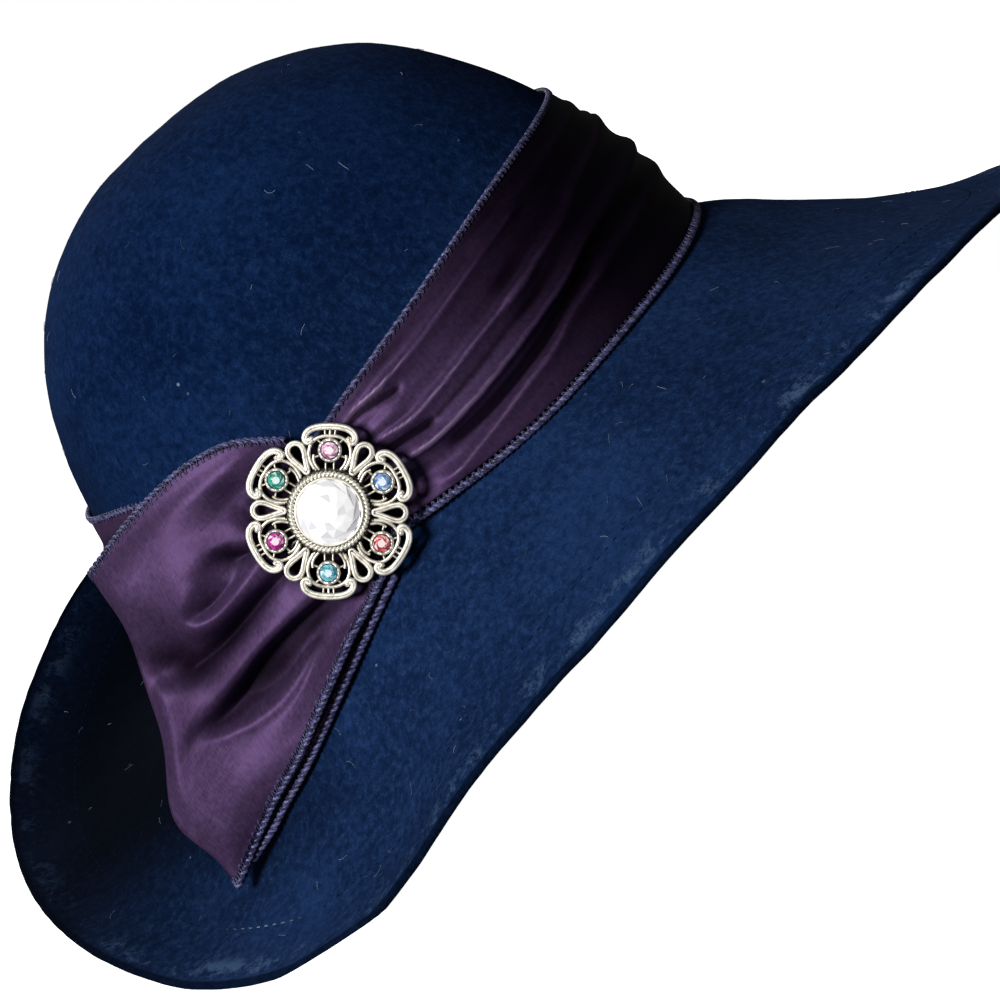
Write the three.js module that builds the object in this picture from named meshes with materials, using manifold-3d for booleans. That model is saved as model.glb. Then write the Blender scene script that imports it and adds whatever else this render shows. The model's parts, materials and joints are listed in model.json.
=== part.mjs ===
// A wide-brimmed cloche of blocked wool felt: crown and brim in one piece, a draped ribbon band
// with a folded loop, twisted cord along the ribbon's edges, and a round pierced brooch.
// Millimetres, +Z up. The origin is on the floor under the middle of the hat, +X points to the
// long drooping side of the brim and -Y to the side with the brooch.
// Azimuths are degrees, counted from +X towards +Y, round the crown's axis.
import * as THREE from 'three';
import { mergeVertices } from 'three/addons/utils/BufferGeometryUtils.js';
import Module from 'manifold-3d';

// Felt
const FELT = 2.2;
const CROWN_CENTRE_X = 1;
const HALF_LONG = 103;
const HALF_WIDE = 87;
const BREAK_Z = 62; // where the crown meets the brim
const APEX_Z = 190;
const APEX_LEAN = -5; // the dome leans this far along X
const DOME_ROUND = 2.5; // powers of the dome's side view
const DOME_RISE = 2;
const ROUND_STEPS = 56;
// Shapes are laid out near the crown's axis; this brings the footprint's middle to the origin.
const FOOTPRINT_SHIFT = new THREE.Vector3(0.4, -6.6, 0);

// Brim: reach from the crown's axis and height of the edge, slope where it leaves the crown and
// slope at the edge, all at an azimuth. An edge that would dip lower rests on the floor instead.
const BRIM = [
  { azimuth: -40, reach: 182, edgeZ: 21, leave: -40, edge: -22 },
  { azimuth: -15, reach: 192, edgeZ: 6, leave: -38, edge: -12 },
  { azimuth: 0, reach: 188, edgeZ: 2, leave: -34, edge: -16 },
  { azimuth: 16, reach: 178, edgeZ: -0.4, leave: -32, edge: -36 },
  { azimuth: 35, reach: 171, edgeZ: 0.2, leave: -33, edge: -34 },
  { azimuth: 62, reach: 171, edgeZ: -4, leave: -34, edge: -10 },
  { azimuth: 85, reach: 169, edgeZ: 20, leave: -28, edge: 10 },
  { azimuth: 108, reach: 172, edgeZ: 66, leave: -22, edge: 34 },
  { azimuth: 130, reach: 180, edgeZ: 91, leave: -20, edge: 52 },
  { azimuth: 150, reach: 189, edgeZ: 80, leave: -24, edge: 54 },
  { azimuth: 170, reach: 192, edgeZ: 59, leave: -30, edge: 42 },
  { azimuth: 190, reach: 190, edgeZ: 36, leave: -36, edge: 28 },
  { azimuth: 210, reach: 183, edgeZ: 8, leave: -42, edge: 14 },
  { azimuth: 230, reach: 172, edgeZ: -0.6, leave: -44, edge: 0 },
  { azimuth: 250, reach: 161, edgeZ: 14, leave: -42, edge: -12 },
  { azimuth: 270, reach: 156, edgeZ: 21, leave: -38, edge: -18 },
  { azimuth: 295, reach: 163, edgeZ: 25, leave: -38, edge: -22 },
];
const RESTING_EDGE_Z = 0.2;
const BRIM_STEPS = [0, 0.03, 0.14, 0.32, 0.5, 0.68, 0.86, 1];
const CROWN_STEPS = [12, 24, 36, 48, 60, 72, 83];

// Ribbon band: how far its lower edge is lifted off the brim, how far that edge stands out over
// the start of the brim, and how high the upper cord runs.
const RIBBON = 1.2;
const GAP = 0.35;
const BAND = [
  { azimuth: 0, lift: 0, lip: 3, topZ: 119.5 },
  { azimuth: 90, lift: 0, lip: 3, topZ: 119.5 },
  { azimuth: 180, lift: 0, lip: 3, topZ: 119.5 },
  { azimuth: 212, lift: 0, lip: 3, topZ: 116 },
  { azimuth: 230, lift: 1, lip: 2.6, topZ: 108 },
  { azimuth: 247, lift: 3.6, lip: 1, topZ: 99 },
  { azimuth: 262, lift: 2.2, lip: 2.2, topZ: 103 },
  { azimuth: 280, lift: 0, lip: 3, topZ: 108.5 },
  { azimuth: 310, lift: 0, lip: 3, topZ: 116 },
];
const BAND_STEPS = [0, 0.09, 0.19, 0.28, 0.37, 0.47, 0.57, 0.66, 0.76, 0.88, 1];
// Long folds of the band, each from one azimuth to the next: how far up the band they run at
// both ends, and their height and half width.
const BAND_FOLDS = [
  { from: 250, to: 312, start: 0.88, end: 0.82, high: 2.2, wide: 3.2 },
  { from: 250, to: 306, start: 0.58, end: 0.57, high: 2.4, wide: 3.4 },
  { from: 250, to: 360, start: 0.39, end: 0.47, high: 3, wide: 3.6 },
  { from: 262, to: 360, start: 0.14, end: 0.29, high: 2.8, wide: 4 },
  { from: 292, to: 360, start: 0.57, end: 0.73, high: 3.2, wide: 3.6 },
  { from: 360, to: 480, start: 0.47, end: 0.4, high: 3, wide: 3.6 },
  { from: 360, to: 505, start: 0.29, end: 0.2, high: 2.8, wide: 4 },
  { from: 360, to: 470, start: 0.73, end: 0.62, high: 3.2, wide: 3.6 },
  { from: 465, to: 600, start: 0.4, end: 0.5, high: 2.6, wide: 4 },
  { from: 450, to: 600, start: 0.72, end: 0.78, high: 2.8, wide: 4 },
  { from: 500, to: 600, start: 0.18, end: 0.26, high: 2.4, wide: 4 },
];
const GATHER_AZIMUTH = 248;
const BAND_CORD = 1.3;
const BAND_CORD_TOP = 1.1;

// Ribbon loop: upper and lower edge of its front layer, from the gather under the brooch
// (along 0) to the fold at the left (along 1).
const LOOP = [
  { along: 0, upper: [-33, -87, 104.5], lower: [-36, -93.4, 62] },
  { along: 0.2, upper: [-45, -85.5, 114], lower: [-52.5, -92.8, 55] },
  { along: 0.4, upper: [-58, -82, 117.5], lower: [-70.5, -90.6, 47] },
  { along: 0.6, upper: [-72, -77, 117.5], lower: [-90, -85.6, 38] },
  { along: 0.8, upper: [-86.5, -71, 115.5], lower: [-110, -79, 30] },
  { along: 1, upper: [-102, -65, 112], lower: [-131, -79.5, 20.5] },
];
const LOOP_OUT = new THREE.Vector3(-0.2, -0.965, 0.17).normalize();
const LOOP_GAP = { gather: 2.6, fold: 7 };
const LOOP_BACK_DROP = 3.4; // the back layer's lower edge hangs this much lower
const LOOP_BOW = { gather: 3, middle: 11 }; // the front layer is drawn in above its lower edge
const LOOP_PUFF = 2.5;
// The fold edge is not straight: it swings along X by these amounts.
const LOOP_SWING = [
  { at: 0.8, by: 3, wide: 0.15 },
  { at: 0.27, by: -9, wide: 0.16 },
];
// Creases of the loop's front layer, from one (along, up) place to another.
const LOOP_FOLDS = [
  { from: [0.74, 0.82], to: [0.74, 0.66], high: 2.2, wide: 4 },
  { from: [0.72, 0.6], to: [0.15, 0.6], high: 2.6, wide: 3.4 },
  { from: [0.78, 0.45], to: [0.15, 0.46], high: 3, wide: 4 },
  { from: [0.8, 0.54], to: [0.2, 0.53], high: -2.4, wide: 3.6 },
  { from: [0.86, 0.38], to: [0.2, 0.3], high: -4.4, wide: 4.6 },
  { from: [0.81, 0.28], to: [0.2, 0.21], high: 2.6, wide: 3.6 },
  { from: [0.5, 0.71], to: [0.25, 0.66], high: -2.2, wide: 3.4 },
  { from: [0.37, 0.84], to: [0.37, 0.78], high: -2.2, wide: 4 },
];
const LOOP_STEPS = 9;
const LOOP_UP_STEPS = [0, 0.1, 0.21, 0.3, 0.38, 0.46, 0.54, 0.62, 0.72, 0.85, 1];
const LOOP_CORD = 1.2;
const LOOP_CORD_TOP = 0.9;

// Brooch, in its own frame: +Z faces out, its back is the plane z = 0.
const BROOCH_CENTRE = new THREE.Vector3(-37, -91.8, 82.8);
const BROOCH_FACING = { azimuth: 265, elevation: 10 };
const BROOCH_TURN = 47; // degrees from the brooch's right to its first petal
const PETALS = 6;
const RING = { inner: 9.5, outer: 11.6, high: 2.9, floor: 0.8, beads: 30 };
const CUP = { at: 17.4, inner: 2.75, outer: 3.4, high: 2.3, floor: 0.8 };
const PETAL = { arc: 6.4, spread: 116, wide: 1.5, high: 2.2 };
const HORSESHOE = { arc: 4.7, foot: 2.3, wide: 0.9, high: 1.7 };
const DROP = { start: 11, centre: 19.6, round: 2.95, wire: 1.15, high: 2 };
const STONE = { radius: 2.45, base: 1.1, girdle: 1.9, top: 3.2, table: 1.45, sides: 8 };
const CENTRE_STONE = { radius: 9.2, base: 1.1, girdle: 2.3, mid: 4.7, midRadius: 7.4, top: 6.1, table: 4.4, sides: 12 };
const STONES = [
  { name: 'stone_pink', turn: 0, colour: 0xe7b7cf },
  { name: 'stone_sky', turn: 300, colour: 0x9fc6e0 },
  { name: 'stone_coral', turn: 240, colour: 0xc94a4a },
  { name: 'stone_aqua', turn: 180, colour: 0x6fbcc9 },
  { name: 'stone_fuchsia', turn: 120, colour: 0xb8308f },
  { name: 'stone_green', turn: 60, colour: 0x3f9f8b },
];
const PIN = { length: 32, radius: 0.6, drop: 0.95 };

const lerp = THREE.MathUtils.lerp;
const rad = THREE.MathUtils.degToRad;

// A smooth closed curve through rows that each have an azimuth, with uneven spacing allowed.
function roundTable(rows, column, azimuth) {
  const first = rows[0].azimuth;
  const x = THREE.MathUtils.euclideanModulo(azimuth - first, 360) + first;
  const count = rows.length;
  const row = (k) => {
    const turn = Math.floor(k / count);
    const r = rows[k - turn * count];
    return { t: r.azimuth + 360 * turn, v: r[column] };
  };
  let k = 0;
  while (k < count - 1 && row(k + 1).t <= x) {
    k += 1;
  }
  const slope = (i) => {
    const [a, b, c] = [row(i - 1), row(i), row(i + 1)];
    const left = (b.v - a.v) / (b.t - a.t);
    const right = (c.v - b.v) / (c.t - b.t);
    return (left * (c.t - b.t) + right * (b.t - a.t)) / (c.t - a.t);
  };
  const [p, q] = [row(k), row(k + 1)];
  const width = q.t - p.t;
  const f = (x - p.t) / width;
  return (2 * f ** 3 - 3 * f ** 2 + 1) * p.v + (f ** 3 - 2 * f ** 2 + f) * width * slope(k)
    + (3 * f ** 2 - 2 * f ** 3) * q.v + (f ** 3 - f ** 2) * width * slope(k + 1);
}

function polar(azimuth, radius, z) {
  const a = rad(azimuth);
  return new THREE.Vector3(CROWN_CENTRE_X + radius * Math.cos(a), radius * Math.sin(a), z);
}

// Radius of the crown's oval foot.
function ovalRadius(azimuth) {
  const a = rad(azimuth);
  return HALF_LONG * HALF_WIDE / Math.hypot(HALF_WIDE * Math.cos(a), HALF_LONG * Math.sin(a));
}

// The crown's middle surface at a height.
function crownPoint(azimuth, z) {
  const h = THREE.MathUtils.clamp((z - BREAK_Z) / (APEX_Z - BREAK_Z), 0, 1);
  const radius = ovalRadius(azimuth) * (1 - h ** DOME_RISE) ** (1 / DOME_ROUND);
  const p = polar(azimuth, radius, z);
  p.x += APEX_LEAN * h ** 2;
  return p;
}

// The brim's middle surface: a cubic in the upright plane at each azimuth, 0 at the crown and 1
// at the edge.
function brimSection(azimuth, u) {
  const [reach, freeZ, leave, edge] = ['reach', 'edgeZ', 'leave', 'edge']
    .map((column) => roundTable(BRIM, column, azimuth));
  const edgeZ = Math.max(freeZ, RESTING_EDGE_Z);
  const start = ovalRadius(azimuth);
  const handle = 0.4 * Math.hypot(reach - start, edgeZ - BREAK_Z);
  const w = [(1 - u) ** 3, 3 * u * (1 - u) ** 2, 3 * u ** 2 * (1 - u), u ** 3];
  const radii = [start, start + handle * Math.cos(rad(leave)), reach - handle * Math.cos(rad(edge)), reach];
  const heights = [BREAK_Z, BREAK_Z + handle * Math.sin(rad(leave)), edgeZ - handle * Math.sin(rad(edge)), edgeZ];
  const sum = (values) => values.reduce((total, value, i) => total + w[i] * value, 0);
  return { radius: sum(radii), z: sum(heights) };
}

// Height of the brim's middle surface at a radius.
function brimHeight(azimuth, radius) {
  let low = 0;
  let high = 1;
  for (let i = 0; i < 24; i += 1) {
    const mid = (low + high) / 2;
    if (brimSection(azimuth, mid).radius < radius) {
      low = mid;
    } else {
      high = mid;
    }
  }
  return brimSection(azimuth, low).z;
}

// The whole felt surface: 0 at the brim's edge, 1 at the crown's foot, 2 at the apex.
function feltPoint(azimuth, b) {
  if (b <= 1) {
    const { radius, z } = brimSection(azimuth, 1 - b);
    return polar(azimuth, radius, z);
  }
  const rise = Math.sin(rad(90 * (b - 1)));
  return crownPoint(azimuth, BREAK_Z + (APEX_Z - BREAK_Z) * rise);
}

// Unit normal of a surface of two parameters, by differences.
function normalAt(surface, a, b, da, db) {
  const along = surface(a + da, b).sub(surface(a - da, b));
  const across = surface(a, b + db).sub(surface(a, b - db));
  return along.cross(across).normalize();
}

function closedGeometry(points, faces) {
  const geometry = new THREE.BufferGeometry();
  geometry.setAttribute('position', new THREE.Float32BufferAttribute(points.flatMap((p) => [p.x, p.y, p.z]), 3));
  geometry.setIndex(faces.flat());
  geometry.computeVertexNormals();
  return geometry;
}

// A closed wall of even thickness on a grid of surface points. grid[j][i] holds a point and its
// normal; ring joins the last column to the first; pole closes the last row with one point.
function wall(grid, half, { ring = false, pole = null, floor = -Infinity } = {}) {
  const columns = grid[0].length;
  const rows = grid.length;
  const points = [];
  for (const side of [1, -1]) {
    for (const row of grid) {
      for (const { point, normal } of row) {
        const p = point.clone().addScaledVector(normal, side * half);
        p.z = Math.max(p.z, floor);
        points.push(p);
      }
    }
  }
  const id = (side, j, i) => side * rows * columns + j * columns + (i % columns);
  const faces = [];
  const quad = (a, b, c, d) => faces.push([a, b, c], [a, c, d]);
  const last = ring ? columns : columns - 1;
  for (let i = 0; i < last; i += 1) {
    for (let j = 0; j < rows - 1; j += 1) {
      quad(id(0, j, i), id(0, j, i + 1), id(0, j + 1, i + 1), id(0, j + 1, i));
      quad(id(1, j, i), id(1, j + 1, i), id(1, j + 1, i + 1), id(1, j, i + 1));
    }
    quad(id(1, 0, i), id(1, 0, i + 1), id(0, 0, i + 1), id(0, 0, i));
    if (!pole) {
      quad(id(1, rows - 1, i), id(0, rows - 1, i), id(0, rows - 1, i + 1), id(1, rows - 1, i + 1));
    }
  }
  if (!ring) {
    const end = columns - 1;
    for (let j = 0; j < rows - 1; j += 1) {
      quad(id(1, j, 0), id(0, j, 0), id(0, j + 1, 0), id(1, j + 1, 0));
      quad(id(1, j, end), id(1, j + 1, end), id(0, j + 1, end), id(0, j, end));
    }
  }
  if (pole) {
    for (const side of [0, 1]) {
      const tip = points.length;
      points.push(pole.point.clone().addScaledVector(pole.normal, side === 0 ? half : -half));
      for (let i = 0; i < columns; i += 1) {
        const [a, b] = [id(side, rows - 1, i), id(side, rows - 1, i + 1)];
        faces.push(side === 0 ? [a, b, tip] : [b, a, tip]);
      }
    }
  }
  return closedGeometry(points, faces);
}

// A solid round strand through centre points, its sides laid out from an upward direction.
function strand(centres, radius, sides, { ring = false, up }) {
  const count = centres.length;
  const points = [];
  centres.forEach((centre, k) => {
    const before = centres[ring ? (k + count - 1) % count : Math.max(k - 1, 0)];
    const after = centres[ring ? (k + 1) % count : Math.min(k + 1, count - 1)];
    const tangent = after.clone().sub(before).normalize();
    const across = new THREE.Vector3().crossVectors(up, tangent).normalize();
    const over = new THREE.Vector3().crossVectors(tangent, across);
    for (let s = 0; s < sides; s += 1) {
      const angle = 2 * Math.PI * s / sides;
      points.push(centre.clone().addScaledVector(across, radius * Math.cos(angle))
        .addScaledVector(over, radius * Math.sin(angle)));
    }
  });
  const id = (k, s) => (k % count) * sides + (s % sides);
  const faces = [];
  const last = ring ? count : count - 1;
  for (let k = 0; k < last; k += 1) {
    for (let s = 0; s < sides; s += 1) {
      faces.push([id(k, s), id(k, s + 1), id(k + 1, s + 1)], [id(k, s), id(k + 1, s + 1), id(k + 1, s)]);
    }
  }
  if (!ring) {
    for (let s = 1; s < sides - 1; s += 1) {
      faces.push([id(0, 0), id(0, s + 1), id(0, s)], [id(count - 1, 0), id(count - 1, s), id(count - 1, s + 1)]);
    }
  }
  return closedGeometry(points, faces);
}

const azimuths = Array.from({ length: ROUND_STEPS }, (_, i) => 360 * i / ROUND_STEPS);

function feltGeometry() {
  const levels = [...BRIM_STEPS, ...CROWN_STEPS.map((angle) => 1 + angle / 90)];
  const grid = levels.map((b) => azimuths.map((azimuth) => ({
    point: feltPoint(azimuth, b),
    normal: normalAt(feltPoint, azimuth, b, 0.5, 0.004),
  })));
  const pole = { point: crownPoint(0, APEX_Z), normal: new THREE.Vector3(0, 0, 1) };
  return wall(grid, FELT / 2, { ring: true, pole, floor: 0 });
}

// Radius of the band's lower edge.
function bandFoot(azimuth) {
  return ovalRadius(azimuth) + FELT / 2 + GAP + RIBBON / 2 + roundTable(BAND, 'lip', azimuth);
}

// How far the band's folds stand out at an azimuth and a height up the band.
function bandFold(azimuth, v, height) {
  let out = 0;
  for (const fold of BAND_FOLDS) {
    for (const turn of [0, 360]) {
      const t = (azimuth + turn - fold.from) / (fold.to - fold.from);
      const reach = THREE.MathUtils.smoothstep(t, -0.04, 0.06) * (1 - THREE.MathUtils.smoothstep(t, 0.94, 1.04));
      const d = (v - lerp(fold.start, fold.end, t)) * height / fold.wide;
      out += fold.high * reach * Math.exp(-(Math.abs(d) ** 1.6));
    }
  }
  const gather = Math.abs(THREE.MathUtils.euclideanModulo(azimuth - GATHER_AZIMUTH + 180, 360) - 180);
  return Math.min(out, 4.5) * THREE.MathUtils.smoothstep(gather, 2, 22);
}

function bandPoint(azimuth, v) {
  const lowerZ = brimHeight(azimuth, bandFoot(azimuth)) + 4.6 + roundTable(BAND, 'lift', azimuth);
  const upperZ = roundTable(BAND, 'topZ', azimuth) - 1.9;
  const z = lerp(lowerZ, upperZ, v);
  const out = FELT / 2 + GAP + RIBBON / 2 + bandFold(azimuth, v, upperZ - lowerZ);
  const at = Math.max(z, BREAK_Z + 1);
  const normal = normalAt(crownPoint, azimuth, at, 0.5, 0.5);
  const p = crownPoint(azimuth, at).addScaledVector(normal, out);
  p.z += z - at;
  const a = rad(azimuth);
  const lip = roundTable(BAND, 'lip', azimuth) * Math.exp(-((v / 0.12) ** 2));
  return p.add(new THREE.Vector3(lip * Math.cos(a), lip * Math.sin(a), 0));
}

function bandGeometry() {
  const grid = BAND_STEPS.map((v) => azimuths.map((azimuth) => ({
    point: bandPoint(azimuth, v),
    normal: normalAt(bandPoint, azimuth, v, 0.5, 0.01),
  })));
  return wall(grid, RIBBON / 2, { ring: true });
}

function bandCordLower() {
  return azimuths.map((azimuth) => {
    const radius = bandFoot(azimuth) + 1.5;
    return polar(azimuth, radius, brimHeight(azimuth, radius) + 3.4 + roundTable(BAND, 'lift', azimuth));
  });
}

function bandCordUpper() {
  return azimuths.map((azimuth) => {
    const z = roundTable(BAND, 'topZ', azimuth);
    const normal = normalAt(crownPoint, azimuth, z, 0.5, 0.5);
    return crownPoint(azimuth, z).addScaledVector(normal, FELT / 2 + GAP + BAND_CORD_TOP);
  });
}

// One edge of the loop's front layer at a place along it.
function loopEdge(edge, along) {
  const x = THREE.MathUtils.clamp(along, 0, 1) * (LOOP.length - 1);
  const k = Math.min(Math.floor(x), LOOP.length - 2);
  const f = x - k;
  const row = (i) => new THREE.Vector3(...LOOP[THREE.MathUtils.clamp(i, 0, LOOP.length - 1)][edge]);
  const [p0, p1, p2, p3] = [row(k - 1), row(k), row(k + 1), row(k + 2)];
  const mix = (a, b, c, d) => 0.5 * (2 * b + (c - a) * f + (2 * a - 5 * b + 4 * c - d) * f ** 2
    + (3 * b - a - 3 * c + d) * f ** 3);
  return new THREE.Vector3(mix(p0.x, p1.x, p2.x, p3.x), mix(p0.y, p1.y, p2.y, p3.y), mix(p0.z, p1.z, p2.z, p3.z));
}

function loopFold(along, up) {
  const height = lerp(42, 92, along);
  let out = LOOP_PUFF * Math.sin(Math.PI * up) * Math.sin(Math.PI * Math.min(along, 0.9));
  for (const fold of LOOP_FOLDS) {
    const start = new THREE.Vector2(fold.from[0] * 85, fold.from[1] * height);
    const line = new THREE.Vector2(fold.to[0] * 85, fold.to[1] * height).sub(start);
    const to = new THREE.Vector2(along * 85, up * height).sub(start);
    const t = THREE.MathUtils.clamp(to.dot(line) / line.lengthSq(), 0, 1);
    const d = to.addScaledVector(line, -t).length() / fold.wide;
    out += fold.high * Math.exp(-(d ** 2));
  }
  return out * THREE.MathUtils.smoothstep(along, 0.02, 0.3) * (1 - THREE.MathUtils.smoothstep(along, 0.9, 1));
}

// 0 at the fold, rising to 1 a little way in from it.
function pastFold(along) {
  return THREE.MathUtils.smoothstep(1 - along, 0.02, 0.2);
}

// The loop's surface: side runs from 1 on the front layer through 0 at the fold to -1 behind.
function loopSurface(along, side, up) {
  const p = loopEdge('lower', along).lerp(loopEdge('upper', along), up);
  for (const swing of LOOP_SWING) {
    p.x += swing.by * along ** 2 * Math.exp(-(((up - swing.at) / swing.wide) ** 2));
  }
  // The layers lie close together along the lower edge and part above it.
  const gap = lerp(LOOP_GAP.gather, LOOP_GAP.fold, Math.sin(Math.PI / 2 * along) * THREE.MathUtils.smoothstep(up, 0, 0.4));
  const front = THREE.MathUtils.smoothstep(side, 0, 1);
  const bow = lerp(LOOP_BOW.gather, LOOP_BOW.middle, THREE.MathUtils.smoothstep(along, 0, 0.35))
    * (1 - THREE.MathUtils.smoothstep(along, 0.5, 0.95)) * 4 * up * (1 - up) ** 2;
  p.addScaledVector(LOOP_OUT, (side - 1) * gap / 2 + front * loopFold(along, up) - bow);
  p.z -= LOOP_BACK_DROP * (1 - up) ** 3 * (1 - side) / 2 * pastFold(along);
  return p;
}

// Places along the folded ribbon: out on the front layer, round the fold and back behind.
function loopStations() {
  const out = Array.from({ length: LOOP_STEPS + 1 }, (_, i) => ({ along: 0.975 * i / LOOP_STEPS, side: 1 }));
  const back = out.map(({ along }) => ({ along, side: -1 })).reverse();
  return [...out, { along: 0.993, side: 0.7 }, { along: 1, side: 0 }, { along: 0.993, side: -0.7 }, ...back];
}

function loopPoint(t, up) {
  const stations = loopStations();
  const x = THREE.MathUtils.clamp(t, 0, stations.length - 1);
  const k = Math.min(Math.floor(x), stations.length - 2);
  const [p, q] = [stations[k], stations[k + 1]];
  return loopSurface(lerp(p.along, q.along, x - k), lerp(p.side, q.side, x - k), up);
}

function loopGeometry() {
  const grid = LOOP_UP_STEPS.map((up) => loopStations().map((_, t) => ({
    point: loopPoint(t, up),
    normal: normalAt(loopPoint, t, up, 0.5, 0.01),
  })));
  return wall(grid, RIBBON / 2);
}

// Cord just past one edge of the loop.
function loopCord(up, radius) {
  return loopStations().map(({ along, side }, t) => {
    const edge = loopPoint(t, up);
    const inner = loopPoint(t, up === 0 ? 0.05 : 0.95);
    const away = edge.clone().sub(inner).normalize();
    edge.addScaledVector(away, radius + 0.45);
    if (up === 0) {
      edge.addScaledVector(LOOP_OUT, 0.5 * (1 - side) * pastFold(along));
    }
    return edge;
  });
}

const wasm = await Module();
wasm.setup();

function toSolid(geometry) {
  const bare = geometry.clone();
  bare.deleteAttribute('normal');
  bare.deleteAttribute('uv');
  const merged = mergeVertices(bare, 1e-4);
  const index = merged.getIndex().array;
  const kept = [];
  for (let i = 0; i < index.length; i += 3) {
    const [a, b, c] = [index[i], index[i + 1], index[i + 2]];
    if (a !== b && b !== c && c !== a) {
      kept.push(a, b, c);
    }
  }
  return new wasm.Manifold(new wasm.Mesh({
    numProp: 3,
    vertProperties: new Float32Array(merged.getAttribute('position').array),
    triVerts: new Uint32Array(kept),
  }));
}

function toGeometry(solid) {
  const mesh = solid.getMesh();
  const geometry = new THREE.BufferGeometry();
  geometry.setAttribute('position', new THREE.BufferAttribute(new Float32Array(mesh.vertProperties), 3));
  geometry.setIndex(new THREE.BufferAttribute(new Uint32Array(mesh.triVerts), 1));
  geometry.computeVertexNormals();
  return geometry;
}

// A flat bar of even width along a centre line in the brooch's plane.
function flatWire(line, wide, high) {
  const outline = [];
  const other = [];
  line.forEach((p, k) => {
    const before = line[Math.max(k - 1, 0)];
    const after = line[Math.min(k + 1, line.length - 1)];
    const aside = after.clone().sub(before).normalize().rotateAround(new THREE.Vector2(), Math.PI / 2);
    outline.push(p.clone().addScaledVector(aside, wide / 2));
    other.unshift(p.clone().addScaledVector(aside, -wide / 2));
  });
  return new THREE.ExtrudeGeometry(new THREE.Shape([...outline, ...other]), { depth: high, bevelEnabled: false });
}

// Points of an arc round a centre on the petal's axis; 0 degrees faces away from the brooch.
function petalArc(at, radius, from, to, steps) {
  return Array.from({ length: steps + 1 }, (_, i) => {
    const a = rad(lerp(from, to, i / steps));
    return new THREE.Vector2(at + radius * Math.cos(a), radius * Math.sin(a));
  });
}

// Outline of a drop that widens away from the brooch's middle.
function dropOutline(inset, steps) {
  const round = petalArc(DROP.centre, DROP.round - inset, -100, 100, steps);
  const tip = new THREE.Vector2(DROP.start + 2.6 * inset, 0.5);
  return [...round, tip, new THREE.Vector2(tip.x, -0.5)];
}

function dropGeometry() {
  const shape = new THREE.Shape(dropOutline(0, 8));
  shape.holes.push(new THREE.Path(dropOutline(DROP.wire, 6).reverse()));
  return new THREE.ExtrudeGeometry(shape, { depth: DROP.high, bevelEnabled: false });
}

// A cup turned round its axis: a floor with a standing wall.
function cupGeometry({ inner, outer, high, floor }, sides) {
  const profile = [[0, 0], [outer, 0], [outer, high], [inner, high], [inner, floor], [0, floor]];
  return new THREE.LatheGeometry(profile.map(([x, y]) => new THREE.Vector2(x, y)), sides).rotateX(Math.PI / 2);
}

// The rope round the centre stone: a toothed ring, each tooth a turn of the rope.
function ropeGeometry() {
  const outline = Array.from({ length: 2 * RING.beads }, (_, i) => {
    const a = Math.PI * i / RING.beads;
    return new THREE.Vector2(Math.cos(a), Math.sin(a)).multiplyScalar(RING.outer - (i % 2 ? 0.55 : 0));
  });
  const shape = new THREE.Shape(outline);
  const hole = Array.from({ length: 24 }, (_, i) => {
    const a = -2 * Math.PI * i / 24;
    return new THREE.Vector2(Math.cos(a), Math.sin(a)).multiplyScalar(RING.inner);
  });
  shape.holes.push(new THREE.Path(hole));
  return new THREE.ExtrudeGeometry(shape, { depth: RING.high, bevelEnabled: false });
}

function broochGeometry() {
  let solid = toSolid(ropeGeometry());
  const join = (geometry, turn = 0) => {
    solid = solid.add(toSolid(geometry.rotateZ(rad(turn))));
  };
  join(cupGeometry({ inner: 3, outer: RING.inner + 0.4, high: RING.floor, floor: RING.floor / 2 }, 24));
  for (let k = 0; k < PETALS; k += 1) {
    const turn = BROOCH_TURN + 360 * k / PETALS;
    join(cupGeometry(CUP, 10).translate(CUP.at, 0, 0), turn);
    join(flatWire(petalArc(CUP.at, PETAL.arc, -PETAL.spread, PETAL.spread, 9), PETAL.wide, PETAL.high), turn);
    const shoe = [
      new THREE.Vector2(RING.outer - 0.6, -HORSESHOE.foot),
      ...petalArc(CUP.at, HORSESHOE.arc, -100, 100, 7),
      new THREE.Vector2(RING.outer - 0.6, HORSESHOE.foot),
    ];
    join(flatWire(shoe, HORSESHOE.wide, HORSESHOE.high), turn);
    const spoke = [new THREE.Vector2(RING.outer - 0.6, 0), new THREE.Vector2(CUP.at - CUP.outer + 0.4, 0)];
    join(flatWire(spoke, 1.1, HORSESHOE.high), turn);
    join(dropGeometry(), turn + 30);
  }
  return toGeometry(solid);
}

// A cut stone turned from its side view: flat base, girdle, sloping facets and a flat table.
function stoneGeometry(profile, sides) {
  const points = profile.map(([x, y]) => new THREE.Vector2(x, y));
  return new THREE.LatheGeometry(points, sides).rotateX(Math.PI / 2);
}

function smallStoneGeometry() {
  const { radius, base, girdle, top, table, sides } = STONE;
  return stoneGeometry([[0, base], [radius * 0.8, base], [radius, girdle], [table, top], [0, top]], sides);
}

function centreStoneGeometry() {
  const { radius, base, girdle, mid, midRadius, top, table, sides } = CENTRE_STONE;
  const profile = [[0, base], [radius - 0.7, base], [radius, girdle], [midRadius, mid], [table, top], [0, top]];
  return stoneGeometry(profile, sides);
}

function finish(colour, roughness, metalness = 0) {
  return new THREE.MeshStandardMaterial({ color: colour, roughness, metalness, flatShading: true });
}

const felt = finish(0x12233f, 0.95);
const ribbon = finish(0x3b2a48, 0.45);
const cord = finish(0x1f1e46, 0.7);
const silver = finish(0xb9b2a3, 0.32, 0.9);
const steel = finish(0xa9a9a9, 0.35, 0.9);

const hat = new THREE.Group();
hat.position.copy(FOOTPRINT_SHIFT);

function addPiece(name, geometry, material, parent = hat) {
  const mesh = new THREE.Mesh(geometry, material);
  mesh.name = name;
  parent.add(mesh);
  return mesh;
}

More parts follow.
